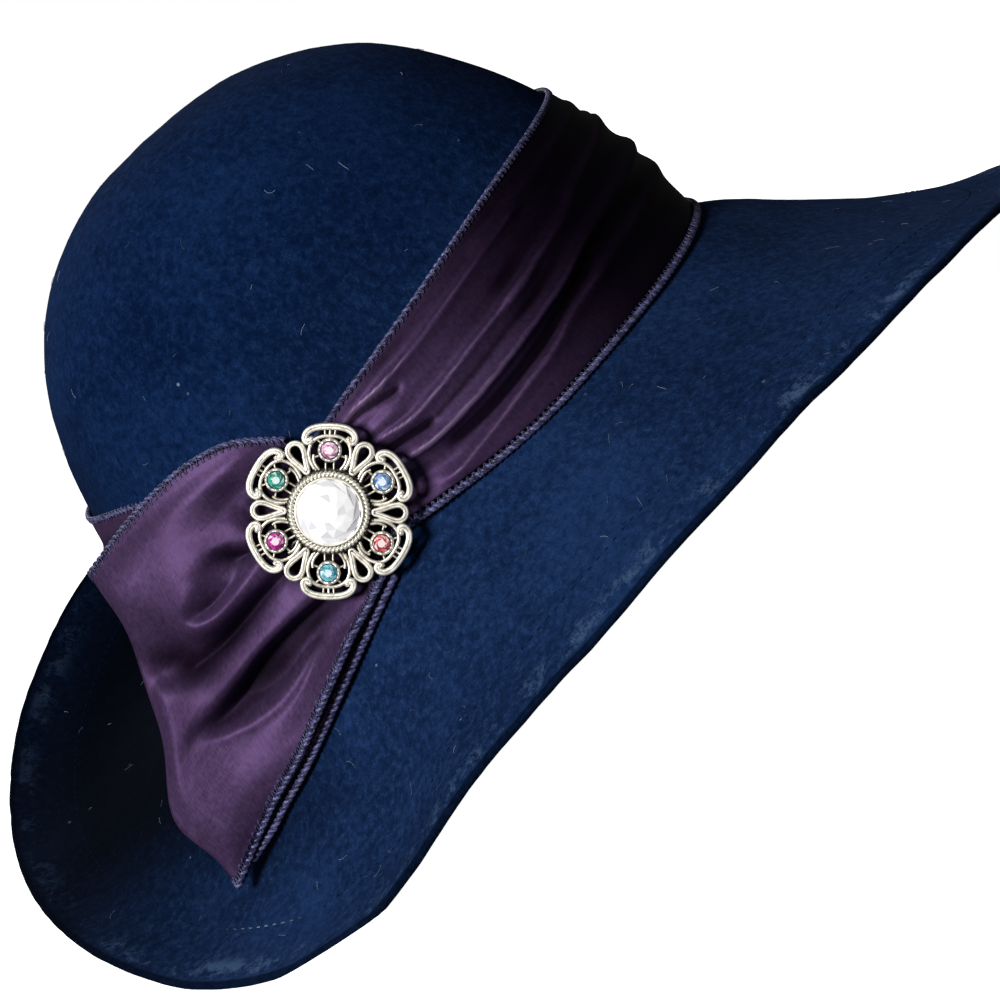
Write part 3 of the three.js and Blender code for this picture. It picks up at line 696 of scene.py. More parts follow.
@dataclass(frozen=True)
class FeltTrim:
    """What lies on the felt: the row of stitches inside the rim, and stray fibres of lint."""

    felt: Felt
    inside_rim: float = 21.5
    stitch_pitch: float = 3.5
    stitch_half: float = 0.8
    stitch_radius: float = 0.2
    stitch_steps: int = 8  # places along the row for each stitch
    # azimuth where the stitches are palest, how wide that stretch is and how pale they are there
    pale_at: float = 213.5
    pale_wide: float = 4.5
    pale_most: float = 0.85
    fibres: int = 170
    fibre_radius: float = 0.07
    seed: int = 77

    def seats(self) -> tuple[Array, Array]:
        """The felt's outer face and its normals, rows going up from the rim."""
        middle = self.felt.middle()
        normal = grid_normals(middle, wrap=True)
        middle = middle + normal * self.felt.relief(middle)[..., None]
        return middle + normal * self.felt.thickness / 2, normal

    def stitches(self, finish: Material) -> Piece:
        """Makes the stitches: short threads half sunk in the brim, palest round one azimuth."""
        face, normal = self.seats()
        away, known = travelled(face), np.concatenate([face, normal], axis=-1)
        line = np.array(
            [
                [np.interp(self.inside_rim, away[:, k], values) for values in known[:, k].T]
                for k in range(face.shape[1])
            ]
        )
        each = self.stitch_steps
        line = spaced(line, self.stitch_pitch / each, closed=True)
        rng = np.random.default_rng(self.seed)
        skin = Skin()
        for k in range(each // 2, len(line) - each // 2, each):
            middle, out = line[k, :3], line[k, 3:]
            along = unit(line[k + 1, :3] - line[k - 1, :3])
            along = unit(along + 0.12 * np.cross(out, along) * rng.normal())
            reach = self.stitch_half * rng.uniform(0.75, 1.2) * np.linspace(-1, 1, 5)
            sunk = 0.04 - 0.26 * (reach / self.stitch_half) ** 4
            centres = middle + reach[:, None] * along + sunk[:, None] * out
            turn = math.degrees(math.atan2(middle[1], middle[0])) % 360
            pale = math.exp(-(((turn - self.pale_at) / self.pale_wide) ** 2))
            tone = self.pale_most * pale * rng.uniform(0.5, 1.0)
            lift = np.tile(out, (len(centres), 1))
            skin.tube(centres, lift, circle(6, self.stitch_radius), False, tone)
        return dress(skin.to_object("brim_stitches"), finish)

    def lint(self, finish: Material) -> Piece:
        """Makes the stray fibres, thin and bent, at random places on the felt."""
        face, normal = self.seats()
        rng = np.random.default_rng(self.seed + 1)
        skin = Skin()
        t = np.linspace(-1, 1, 6)[:, None]
        for _ in range(self.fibres):
            row = rng.integers(4, len(face) - 12)
            column = rng.integers(1, face.shape[1] - 1)
            spot, out = face[row, column], normal[row, column]
            aside = unit(face[row, column + 1] - face[row, column - 1])
            angle = rng.uniform(0, 2 * np.pi)
            along = math.cos(angle) * aside + math.sin(angle) * np.cross(out, aside)
            across = np.cross(out, along)
            half = rng.uniform(0.4, 2.2)
            bend = rng.normal() * 0.3 * half
            centres = spot + half * t * along + bend * (t**2 - 0.3) * across
            centres = centres + out * (0.12 + 0.1 * (1 - t**2))
            lift = np.tile(out, (len(t), 1))
            radius = self.fibre_radius * rng.uniform(0.7, 1.2)
            skin.tube(centres, lift, circle(4, radius), False, rng.uniform(0.2, 1.0))
        return dress(skin.to_object("felt_lint"), finish)

    def build(self, finish: Material) -> list[Piece]:
        """Makes both."""
        return [self.stitches(finish), self.lint(finish)]


def dress(piece: Piece, finish: Material, node: str | None = None) -> Piece:
    """Gives a piece its finish, hangs it on the root body and hides the solid that it stands for, if
    any.
    """
    piece.data.materials.append(finish)
    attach(piece, "root")
    if node is not None:
        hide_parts(node)
    log.info("%s: %d faces", piece.name, len(piece.data.polygons))
    return piece


@dataclass(frozen=True)
class EdgeCord:
    """A two-ply cord along a ribbon's edge, and the thread that oversews it to the ribbon."""

    radius: float
    turn: float = 4.1  # one ply's full turn, in millimetres along the cord
    steps: int = 13
    sides: int = 8
    thread: float = 0.24
    tooth: float = 2.05
    tooth_steps: int = 8
    # as shares of the cord's radius: how far a ply's centre is off the path, and its own radius
    ply_off: float = 0.48
    ply_radius: float = 0.56
    ply_tone: float = 0.85

    def plies(self, skin: Skin, path: Array, closed: bool) -> None:
        """Winds two plies round the path.

        A ply's centre turns round the path at half the cord's radius, and its own radius is a
        little over half, so the plies press into each other.
        """
        centres = spaced(path, self.turn / self.steps, closed)
        length = travelled(joined(centres, closed))
        turns = max(round(length[-1] / self.turn), 1)
        phase = 2 * np.pi * turns * length[: len(centres)] / length[-1]
        tangent = unit(slopes(centres, closed))
        side = unit(np.cross(UP, tangent))
        over = np.cross(tangent, side)
        outline = circle(self.sides, self.ply_radius * self.radius)
        for ply in range(2):
            angle = (phase + np.pi * ply)[:, None]
            spoke = np.cos(angle) * side + np.sin(angle) * over
            line = centres + self.ply_off * self.radius * spoke
            skin.tube(line, spoke, outline, closed, tone=self.ply_tone * ply)

    def build(
        self, name: str, finish: Material, path: Array, sewn: Sequence[Array], closed: bool
    ) -> Piece:
        """Makes the cord.

        Args:
            name: the solid that it stands for.
            finish: its material.
            path: its centre line.
            sewn: the oversewing's outer and inner line, and the directions away from the ribbon.
            closed: whether it is a ring.

        Returns:
            The cord and its thread as one piece.
        """
        skin = Skin()
        self.plies(skin, path, closed)
        self.oversewing(skin, *sewn, closed)
        return dress(skin.to_object(f"{name}_twisted"), finish, name)

    def oversewing(self, skin: Skin, outer: Array, inner: Array, out: Array, closed: bool) -> None:
        """Runs a thread in teeth between a line on the cord and one on the ribbon.

        Args:
            skin: what the thread is added to.
            outer: points on the far side of the cord.
            inner: points on the ribbon's face beside its edge.
            out: directions away from the ribbon's face.
            closed: whether the lines close.
        """
        lines = np.concatenate([outer, inner, out], axis=1)
        lines = spaced(lines, self.tooth / self.tooth_steps, closed)
        count = len(lines)
        teeth = max(round(count / self.tooth_steps), 1)
        phase = 2 * np.pi * teeth * np.arange(count) / count
        reach = (0.5 + 0.62 * np.cos(phase) - 0.12 * np.cos(3 * phase))[:, None]
        line = lerp(lines[:, :3], lines[:, 3:6], reach)
        out = unit(lines[:, 6:])
        line = line + out * (self.thread * (0.9 + 1.2 * (1 - np.abs(2 * reach - 1))))
        skin.tube(line, out, circle(5, self.thread), closed, tone=1.0)


@dataclass(frozen=True)
class RibbonBand:
    """The draped ribbon round the crown's foot, with long soft folds that meet at the brooch."""

    felt: Felt
    half: float = 0.35
    solid_half: float = 0.6
    gap: float = 0.35
    columns: int = 600
    cord_columns: int = 1440
    rows: int = 84
    gather: float = 248.0
    mm_per_degree: float = 1.82
    short_tooth: float = 0.35  # how much the oversewing stays back from the ribbon's face
    drop: float = 56.0
    highest: float = 4.8  # most that a fold stands out, and most that a hollow lies back
    deepest: float = 0.4
    gathers: float = 0.25  # height of the fine gathers beside the brooch
    calm: float = 0.2  # share of the folds' height that is lost round azimuth 0
    flat: tuple[float, float] = (0.055, 0.655)
    # degrees past the gather where the side away from the light starts, is full and ends
    away: tuple[float, float, float] = (15.0, 71.0, 170.0)
    lower_cord: EdgeCord = EdgeCord(radius=1.1, thread=0.17)
    upper_cord: EdgeCord = EdgeCord(radius=0.88, thread=0.15)
    # azimuth, lift off the brim, lip over the brim, height of the upper cord
    edges: RoundTable = RoundTable(
        (
            (0, 0, 0.2, 119), (90, 0, 1.6, 119), (180, 0, 3, 119.2), (212, 0, 3, 116),
            (230, 1, 2.6, 108), (247, 3.6, 1, 99), (262, 2.2, 2.2, 103), (280, 0, 3, 108),
            (310, 0, 2.2, 115.2),
        )
    )
    # height, half widths on the left and right, and (azimuth, share of the height) along each fold
    folds: tuple[Crease, ...] = (
        Crease(1.7, 1.3, 3.2, (
            (252, 0.93), (259, 0.91), (268, 0.87), (278, 0.85), (298, 0.86), (314, 0.85),
        ), power=1.3),
        Crease(-3.2, 1.6, 1.8, ((257, 0.875), (262, 0.86), (271, 0.75)), taper=5.0),
        Crease(1.9, 1.4, 3.2, (
            (254, 0.62), (261, 0.61), (268, 0.55), (277, 0.56), (287, 0.58), (306, 0.575),
        ), power=1.3),
        Crease(-3.4, 1.8, 2.2, ((259, 0.53), (265, 0.48), (271, 0.43)), taper=4.0),
        Crease(3.2, 3.4, 2.0, (
            (256, 0.38), (262, 0.36), (268, 0.33), (277, 0.34), (286, 0.36), (296, 0.38),
            (306, 0.4), (317, 0.45), (340, 0.46), (362, 0.48),
        ), power=1.4),
        Crease(-1.6, 2.0, 3.0, (
            (268, 0.25), (275, 0.24), (286, 0.24), (296, 0.26), (306, 0.3), (316, 0.36),
        )),
        Crease(2.2, 2.2, 3.4, (
            (262, 0.05), (268, 0.06), (275, 0.11), (286, 0.17), (296, 0.2), (306, 0.26),
            (330, 0.28), (362, 0.29),
        ), power=1.5),
        Crease(2.8, 1.8, 3.6, (
            (292, 0.58), (308, 0.6), (318, 0.62), (324, 0.66), (345, 0.7), (362, 0.73),
        ), power=1.4),
        Crease(1.0, 1.6, 2.6, ((296, 0.93), (310, 0.89), (335, 0.87), (364, 0.88))),
        Crease(1.2, 3.5, 3.5, ((256, 0.72), (262, 0.7), (272, 0.67))),
        Crease(3.0, 2.6, 4.4, ((356, 0.48), (420, 0.43), (482, 0.4))),
        Crease(2.8, 4.4, 2.8, ((356, 0.29), (430, 0.25), (505, 0.2))),
        Crease(3.2, 2.8, 4.2, ((358, 0.73), (410, 0.7), (470, 0.62))),
        Crease(2.6, 4.4, 2.8, ((465, 0.4), (540, 0.46), (598, 0.52))),
        Crease(2.8, 3.0, 4.6, ((450, 0.72), (530, 0.76), (600, 0.8))),
        Crease(2.4, 2.8, 4.6, ((500, 0.18), (560, 0.22), (600, 0.28))),
    )

    @property
    def out(self) -> float:
        """How far the ribbon's middle lies off the felt's."""
        return self.felt.thickness / 2 + self.gap + self.solid_half

    def foot(self, azimuth: Array) -> Array:
        """Radius of the band's lower edge."""
        return self.felt.oval(azimuth) + self.out + self.edges.at(2, azimuth)

    def span(self, azimuth: Array) -> tuple[Array, Array]:
        """Heights of the band's lower and upper edge."""
        base = self.felt.brim_height(azimuth, self.foot(azimuth))
        return base + 4.2 + self.edges.at(1, azimuth), self.edges.at(3, azimuth) - 1.5

    def creases(self, azimuth: Array, v: Array) -> Array:
        """The sum of the creases' heights."""
        out = np.zeros(np.broadcast(azimuth, v).shape)
        for crease in self.folds:
            for turn in (0, 360):
                x = (azimuth + turn) * self.mm_per_degree
                out += crease.height(x, v * self.drop, (self.mm_per_degree, self.drop))
        return out

    def fold(self, azimuth: Array, v: Array) -> Array:
        """How far the folds stand out, with fine gathers near the brooch.

        The creases are capped softly; the gathers are waves across the ribbon that die out a
        little way from the brooch.
        """
        out = self.creases(azimuth, v)
        cap = np.where(out > 0, self.highest, self.deepest)
        out = cap * np.tanh(out / cap)
        off = np.abs((azimuth - self.gather + 180) % 360 - 180)
        place = v * 7 + 0.5 * np.sin(azimuth * 0.21)
        gathers = self.gathers * np.sin(2 * np.pi * place) * bell((off - 10) / 12)
        far = np.abs((azimuth + 180) % 360 - 180)
        calm = 1 - self.calm * (1 - smoothstep(far, 25, 60))
        return (out * calm + gathers) * smoothstep(off, 2, 22)

    def hollow(self, azimuth: Array, v: Array) -> Array:
        """How much painted shade each place gets, from how far it lies under the cloth beside it.

        The side that is turned from the light gets painted shade all over, the top strip near the
        brooch a painted shadow, and a fold's ridge line a painted highlight, which a number below
        nothing says.
        """
        azimuth, v = np.broadcast_arrays(azimuth, v)
        raw = self.creases(azimuth, v)
        beside, close = (
            sum(self.creases(azimuth, v + step) / len(steps) for step in steps)
            for steps in ((-0.11, -0.055, 0.055, 0.11), (-0.03, 0.03))
        )
        past = (azimuth - self.gather) % 360
        start, full, end = self.away
        side = smoothstep(past, start, full) * (1 - smoothstep(past, end, end + 60))
        # Painted shade in the hollows, a painted highlight on each fold's ridge line, a painted shadow
        # under the upper edge near the brooch, and painted shade on the side turned from the light.
        deep = 0.93 * smoothstep(beside - raw, 0.15, 1.7)
        crest = smoothstep(raw - close, 0.6, 1.05) * (1 - side)
        rim = 0.6 * smoothstep(v, 0.9, 0.96) * (1 - smoothstep(past, 22, 42))
        dark = both(both(deep, rim), 0.96 * side)
        return dark * (1 - crest) - crest

    def middle(self, azimuth: Array, v: Array) -> Array:
        """The band's middle surface: the crown pushed out by the folds, with a lip at its foot."""
        lower, upper = self.span(azimuth)
        z = lerp(lower, upper, v)
        out = self.out + self.fold(azimuth, v)
        at = np.maximum(z, self.felt.break_z + 1)
        p = self.felt.crown(azimuth, at)
        p = p + self.felt.crown_normal(azimuth, at) * out[..., None]
        p[..., 2] += z - at
        lip = self.edges.at(2, azimuth) * bell(v / 0.12)
        return p + turned(lip, 0.0, np.radians(azimuth))

    def cord_lines(self, azimuth: Array) -> tuple[Array, Array]:
        """Centre lines of the lower and the upper cord."""
        radius = self.foot(azimuth) + 1.2
        z = self.felt.brim_height(azimuth, radius) + 3.2 + self.edges.at(1, azimuth)
        lower = self.felt.polar(azimuth, radius, z)
        top = self.edges.at(3, azimuth) - 0.4
        out = self.felt.thickness / 2 + self.gap + self.upper_cord.radius
        upper = self.felt.crown(azimuth, top)
        return lower, upper + self.felt.crown_normal(azimuth, top) * out

    def build_cord(self, name: str, finish: Material, cord: EdgeCord, low: bool) -> Piece:
        """Makes the cord along one edge of the band."""
        azimuth = np.linspace(0, 360, self.cord_columns, endpoint=False)
        path = self.cord_lines(azimuth)[0 if low else 1]
        ribbon = self.middle(azimuth, np.array(0.004 if low else 0.99))
        out = self.felt.crown_normal(azimuth, np.full(azimuth.shape, 80.0))
        ribbon = ribbon + out * self.half
        across = unit(path - ribbon)
        face = unit(out - np.sum(out * across, -1, keepdims=True) * across)
        outer = path + across * cord.radius * 0.7 + face * cord.radius * 0.5
        inner = lerp(ribbon, path + face * cord.radius, self.short_tooth)
        return cord.build(name, finish, path, (outer, inner, face), closed=True)

    def build(self, ribbon: Material, thread: Material) -> list[Piece]:
        azimuth = np.arange(self.columns) * 360 / self.columns
        v = np.linspace(0, 1, self.rows)
        middle = self.middle(azimuth[None, :], v[:, None])
        grid = slab(middle, self.half, wrap=True)
        along = np.linspace(0, 360, self.columns + 1) * self.mm_per_degree
        dark = self.hollow(azimuth[None, :], v[:, None])
        # Painted shadow of the brooch on the band.
        behind = brooch_shadow(middle)
        dark = dark * (1 - behind) + behind
        skin = Skin()
        skin.grid(
            grid,
            pattern(along, slab_rows(v) * self.drop),
            slab_tone(dark),
            wrap_rows=True,
            wrap_columns=True,
        )
        band = dress(skin.to_object("ribbon_band_folds"), ribbon, "ribbon_band")
        cords = [
            self.build_cord("band_edge_cord_lower", thread, self.lower_cord, True),
            self.build_cord("band_edge_cord_upper", thread, self.upper_cord, False),
        ]
        return [band, *cords]


# lines of the loop's folds, from its top edge to its lower edge, as (x, z, out)
LOOP_FOLDS = Relief(
    (
        # top edge
        ((-41, 114, 0), (-64.5, 116, 0), (-88, 115, 0), (-102, 113, 0), (-117.5, 92, 0),
         (-129, 57.5, 0)),
        # brow
        ((-52.5, 110, 1), (-67.5, 110, 1.6), (-82, 108.5, 2.4), (-94, 107, 2.8), (-103, 105, 2.2),
         (-111.5, 93, 1.4), (-120.5, 72, 1), (-129, 53.5, 1)),
        # soft top
        ((-46.5, 103.5, -1), (-54, 104.5, -1.5), (-58.5, 103.5, -0.8), (-64.5, 102.5, 1),
         (-76, 103.5, 3), (-88, 103, 3.8), (-95.5, 102, 3.8), (-103, 99, 2.8),
         (-111.5, 90.5, 1.6), (-120.5, 69, 1.2), (-129, 51.5, 1)),
        # puff
        ((-46.5, 99, 0.5), (-54, 97.5, -1.2), (-58.5, 97.5, 1), (-64.5, 98, 1.8),
         (-73.5, 98, 3.6), (-82, 98, 4.4), (-88.5, 96.5, 4.2), (-92.5, 96, 3.8), (-98.5, 96, 2.6),
         (-104.5, 94, 2), (-111.5, 87.5, 1.3), (-120.5, 67.5, 1.2), (-129, 49.5, 1)),
        # wedge top
        ((-52.5, 88, 2), (-59.5, 90.5, 2.4), (-66, 95, 2.6), (-73.5, 96, 3.8), (-82, 94, 4.8),
         (-88, 92, 4.6), (-91.5, 92, 3.8), (-97, 92, 1.5), (-104, 90, 1.1), (-111.5, 85, 0.8),
         (-120.5, 65.5, 1.2), (-129, 48, 1)),
        # wedge foot
        ((-52.5, 86.5, 0.4), (-60.5, 88.5, -0.2), (-66, 90.5, -0.2), (-72.5, 91.5, 2.2),
         (-80.5, 90.5, 4.8), (-86.5, 88.5, 5), (-90.5, 88, 3.6), (-96.5, 87.5, 0.2),
         (-104, 86, 0.2), (-111.5, 82.5, 0.2), (-120.5, 64, 1.2), (-129, 46, 1)),
        # slit
        ((-52.5, 85, 1.4), (-60, 87, 1.8), (-67.5, 85.5, 2.2), (-75, 84, 1.8), (-80.5, 83.5, 1.6),
         (-85, 84.5, 3), (-88, 85, 4.6), (-90.5, 84.5, 3), (-96.5, 83, -1), (-104, 81.5, -0.9),
         (-111.5, 80, -0.2), (-120.5, 62.5, 1.3), (-129, 44.5, 1.2)),
        # lip
        ((-52.5, 84, 2.6), (-60, 85, 3.6), (-67.5, 84, 4.8), (-75, 82.5, 5), (-80.5, 82, 5),
         (-86.5, 82.5, 5), (-90, 83, 3.4), (-96, 80, -2), (-104, 78.5, -1.4),
         (-111.5, 77.8, -0.2), (-120.5, 60.5, 1.5), (-129, 43, 1.4)),
        # under the lip
        ((-52.5, 80.5, 2.4), (-60, 80.5, 3.4), (-67.5, 80.5, 4.2), (-75, 80, 4.2), (-82, 79.5, 4),
         (-87.5, 80, 3.4), (-91, 79.5, 0.8), (-95.5, 76.5, -2.8), (-103.5, 75.8, -1.2),
         (-111.5, 75.8, 0.6), (-120.5, 59, 1.6), (-129, 41, 1.6)),
        # valley
        ((-52.5, 79.5, 1), (-58.5, 79, 0.6), (-67.5, 77.5, -1), (-79, 75, -2.2),
         (-88, 73.5, -2.8), (-98, 73.3, -3), (-103.5, 74, -0.4), (-111.5, 73.8, 1.3),
         (-120.5, 57, 1.6), (-129, 39.5, 1.7)),
        # bright bank
        ((-52.5, 76.5, 2.2), (-58.5, 75.5, 2), (-67.5, 74.5, 1.2), (-79, 72.2, 0.8),
         (-88, 70.8, 0.4), (-98, 70.2, -0.2), (-104, 70.5, 1), (-111, 70, 1.6),
         (-120.5, 55.5, 1.6), (-129, 37.5, 1.8)),
        # ridge
        ((-52.5, 69, 3), (-58.5, 68.5, 3), (-67.5, 67.5, 2.8), (-79, 66.5, 2.6), (-88, 64.5, 2.2),
         (-97, 63, 1.8), (-104.5, 62, 1.4), (-111, 61.5, 1.4), (-120.5, 53.5, 1.6),
         (-129, 36, 1.8)),
        # pocket lip
        ((-52.5, 67, 2), (-58.5, 66.5, 1.8), (-67.5, 66.5, 1.6), (-79, 65.5, 1.2),
         (-88, 63.5, 0.6), (-97, 61.5, 0.3), (-104.5, 60.5, 0.5), (-111, 60, 1),
         (-120.5, 52.5, 1.6), (-129, 35, 1.8)),
        # pocket top
        ((-52.5, 65.5, -4.6), (-58.5, 65, -5), (-67.5, 65, -5.4), (-79, 64, -5.4),
         (-88, 61.5, -5), (-97, 59.5, -3.8), (-104.5, 58.5, -1.8), (-111, 58.8, 0.6),
         (-120.5, 51, 1.6), (-129, 34, 1.8)),
        # pocket floor
        ((-52.5, 62.5, -5), (-58.5, 62, -5), (-64.5, 61.5, -5), (-70.5, 60, -5), (-79, 58, -4.8),
         (-88, 56, -3.6), (-95.5, 55, -2.4), (-103, 55.5, -0.9), (-111, 57.3, 0.8),
         (-120.5, 50, 1.7), (-129, 33, 1.8)),
        # tongue
        ((-52.5, 60.5, -4), (-58.5, 60, -3.4), (-64.5, 58.5, -2), (-70.5, 56.5, -0.6),
         (-75.5, 54, 0.4), (-80.5, 52, 1), (-88, 50.8, 1.3), (-95.5, 51.5, 1.3), (-103, 54, 1.1),
         (-111, 56, 1.1), (-120.5, 48.5, 1.8), (-129, 32, 1.8)),
        # crease
        ((-52.5, 58.5, -3.4), (-58.5, 58, -2.8), (-64.5, 56, -1.6), (-70.5, 53.5, -0.8),
         (-76, 51.3, -0.2), (-82, 49.8, 0.3), (-88, 49, 0.7), (-94.5, 49.5, 0.9), (-103, 51, 1.1),
         (-111, 52.5, 1.3), (-120.5, 47, 1.9), (-129, 31, 1.8)),
        # lower face
        ((-52.5, 56, -1.2), (-58.5, 55, -0.6), (-64.5, 53, -0.2), (-70.5, 51, 0.2),
         (-76, 49, 0.4), (-82, 47.8, 0.6), (-88, 47, 0.9), (-97, 47.5, 1.1), (-106, 48.5, 1.4),
         (-117.5, 45, 2), (-129, 29, 1.8)),
        # swell
        ((-52.5, 53.5, 1), (-61.5, 51, 1.2), (-73.5, 46, 1.5), (-85, 42, 1.8), (-97, 40, 2.1),
         (-108.5, 38, 2.3), (-117.5, 36.5, 2.2), (-129, 27, 1.6)),
        # hem
        ((-52.5, 51.5, 0.6), (-67.5, 45, 0.9), (-85, 39, 1), (-103, 33.5, 1.1), (-117.5, 29, 1),
         (-129, 24, 0.8)),
        # lower edge
        ((-46.5, 50.5, 0), (-58.5, 47, 0), (-73.5, 41, 0), (-88, 36, 0), (-103, 31, 0),
         (-117.5, 27, 0), (-132.5, 21.5, 0)),
    )
)


@dataclass(frozen=True)
class RibbonLoop:
    """The folded loop of ribbon that fans out from under the brooch."""

    half: float = 0.35
    fold_at: float = 0.975  # where along the ribbon it starts to turn back
    columns: int = 150
    turn_columns: int = 25
    rows: int = 140
    flat: tuple[float, float] = (0.08, 0.19)
    lower_cord: EdgeCord = EdgeCord(radius=1.1, thread=0.2)
    upper_cord: EdgeCord = EdgeCord(radius=0.75, thread=0.16)
    upper: Triples = (
        (-33, -87, 104.5), (-45, -85.5, 114), (-58, -82, 117.5), (-72, -77, 117.5),
        (-86.5, -71, 115.5), (-102, -65, 112),
    )
    lower: Triples = (
        (-36, -93.4, 62), (-52.5, -92.8, 55), (-70.5, -90.6, 47), (-90, -85.6, 38), (-110, -79, 30),
        (-131, -79.5, 20.5),
    )
    out: tuple[float, float, float] = (-0.2, -0.965, 0.17)
    gap_gather: float = 2.6
    gap_fold: float = 7.0
    clear: float = 1.2
    depth: float = 1.4
    sharp: float = 0.2  # share of the folds that isn't softened, and over how far the rest is
    soften: float = 1.4
    fans: float = 0.3  # height of the fine gathers
    back_drop: float = 3.4
    bow_gather: float = 3.0
    bow_middle: float = 11.0
    puff: float = 2.5
    # place up the fold edge, how far it swings along X, and over what share of the height
    swings: Triples = ((0.8, 3.0, 0.15), (0.27, -9.0, 0.16))
    # painted soft shadows of the front layer: x, z, half length, half width, its slope, how dark
    shadows: tuple[tuple[float, float, float, float, float, float], ...] = (
        (-99.5, 78.5, 13.0, 5.5, -58.0, 0.85), (-84.0, 73.6, 15.0, 3.6, 9.0, 0.75),
        (-66.0, 93.0, 7.0, 3.0, -45.0, 0.7), (-84.0, 59.8, 16.0, 4.4, 6.0, 0.98),
        (-64.0, 62.0, 8.0, 2.6, 3.0, 0.9), (-68.0, 56.2, 9.0, 1.6, 25.0, 0.7),
    )
    folds: Relief = LOOP_FOLDS

    def edge(self, rows: Triples, along: Array) -> Array:
        """One edge of the front layer at places along it."""
        return curve_at(np.array(rows, float), np.clip(along, 0, 1) * (len(rows) - 1))

    def fold(self, along: Array, up: Array, plain: Array) -> Array:
        """How far the front layer stands out: a general puff, the lines' folds and the gathers.

        Args:
            along: 0 at the gather and 1 at the fold.
            up: 0 at the lower edge and 1 at the upper.
            plain: the layer's places before it is puffed.

        Returns:
            The lift in millimetres.
        """
        x, z = plain[..., 0], plain[..., 2]
        lift = self.sharp * self.folds.height(x, z)
        lift = lift + (1 - self.sharp) * self.folds.around(x, z, self.soften)
        out = self.puff * np.sin(np.pi * up) * np.sin(np.pi * np.minimum(along, 0.9))
        out = out + self.depth * lift
        fan = np.sin(2 * np.pi * (up * 8 + 0.4 * np.sin(along * 9)))
        out = out + self.fans * fan * bell((along - 0.16) / 0.13) * np.sin(np.pi * up)
        return out * smoothstep(along, 0.02, 0.3) * (1 - smoothstep(along, 0.9, 1))

    def plain(self, along: Array, up: Array) -> Array:
        """The front layer before it is puffed: straight from edge to edge, swung near the fold."""
        p = lerp(self.edge(self.lower, along), self.edge(self.upper, along), up[..., None])
        for at, by, wide in self.swings:
            p[..., 0] += by * along**2 * bell((up - at) / wide)
        return p

    def hollow(self, along: Array, side: Array, up: Array) -> Array:
        """Painted shade for each place of the front layer, from how far it lies under the cloth round
        it, and the listed painted shadows.
        """
        along, side, up = np.broadcast_arrays(along, side, up)
        p = self.plain(along, up)
        x, z = p[..., 0], p[..., 2]
        under = self.folds.around(x, z, 6) - self.folds.around(x, z, 1)
        dark = 0.6 * smoothstep(under, 0.35, 2.4)
        for at_x, at_z, long, wide, slope, share in self.shadows:
            c, s = math.cos(math.radians(slope)), math.sin(math.radians(slope))
            dx, dz = x - at_x, z - at_z
            off = ((dx * c + dz * s) / long) ** 2 + ((dz * c - dx * s) / wide) ** 2
            dark = both(dark, share * np.exp(-off))
        return dark * smoothstep(side, 0, 1)

    def surface(self, along: Array, side: Array, up: Array) -> Array:
        """The loop's surface.

        Between its two edges the ribbon is straight, swung along X near the fold, drawn in above
        its lower edge and parted from the back layer by a gap that widens towards the fold.

        Args:
            along: 0 at the gather and 1 at the fold.
            side: 1 on the front layer, 0 at the fold and -1 behind.
            up: 0 at the lower edge and 1 at the upper.

        Returns:
            Points of the middle surface.
        """
        along, side, up = np.broadcast_arrays(along, side, up)
        away = unit(np.array(self.out))
        p = self.plain(along, up)
        widen = np.sin(np.pi / 2 * along) * smoothstep(up, 0, 0.4)
        gap = lerp(self.gap_gather, self.gap_fold, widen)
        bow = lerp(self.bow_gather, self.bow_middle, smoothstep(along, 0, 0.35))
        bow = bow * (1 - smoothstep(along, 0.5, 0.95)) * 4 * up * (1 - up) ** 2
        front = np.maximum(self.fold(along, up, p), self.clear - gap)
        lift = (side - 1) * gap / 2 + smoothstep(side, 0, 1) * front
        p = p + away * (lift - bow)[..., None]
        past = smoothstep(1 - along, 0.02, 0.2)
        p[..., 2] -= self.back_drop * (1 - up) ** 3 * (1 - side) / 2 * past
        return p

    def stations(self) -> tuple[Array, Array]:
        """Places along the folded ribbon: out in front, round the fold and back behind."""
        front = self.fold_at * np.linspace(0, 1, self.columns)
        turn = np.linspace(0, np.pi, self.turn_columns + 2)[1:-1]
        back = self.fold_at + (1 - self.fold_at) * np.sin(turn)
        along = np.concatenate([front, back, front[::-1]])
        side = np.concatenate([np.ones(self.columns), np.cos(turn), -np.ones(self.columns)])
        return along, side

    def cord_line(self, up: float, radius: float) -> Array:
        """Centre line of the cord just past one edge."""
        along, side = self.stations()
        edge = self.surface(along, side, np.array(up))
        inner = self.surface(along, side, np.array(0.05 if up == 0 else 0.95))
        line = edge + unit(edge - inner) * (radius + 0.45)
        if up == 0:
            past = smoothstep(1 - along, 0.02, 0.2)
            line = line + unit(np.array(self.out)) * (0.5 * (1 - side) * past)[:, None]
        return line

    def build_cord(self, name: str, finish: Material, cord: EdgeCord, up: float) -> Piece:
        """Makes the cord along one edge of the loop."""
        along, side = self.stations()
        path = self.cord_line(up, cord.radius)
        inside = 0.011 if up == 0 else 0.989
        rows = np.array([inside - 0.01, inside, inside + 0.01])
        grid = self.surface(along[None, :], side[None, :], rows[:, None])
        face = -grid_normals(grid, wrap=False)[1]
        ribbon = grid[1] + face * self.half
        across = unit(path - ribbon)
        outer = path + across * cord.radius * 0.6 + face * cord.radius * 0.5
        return cord.build(name, finish, path, (outer, ribbon, face), closed=False)

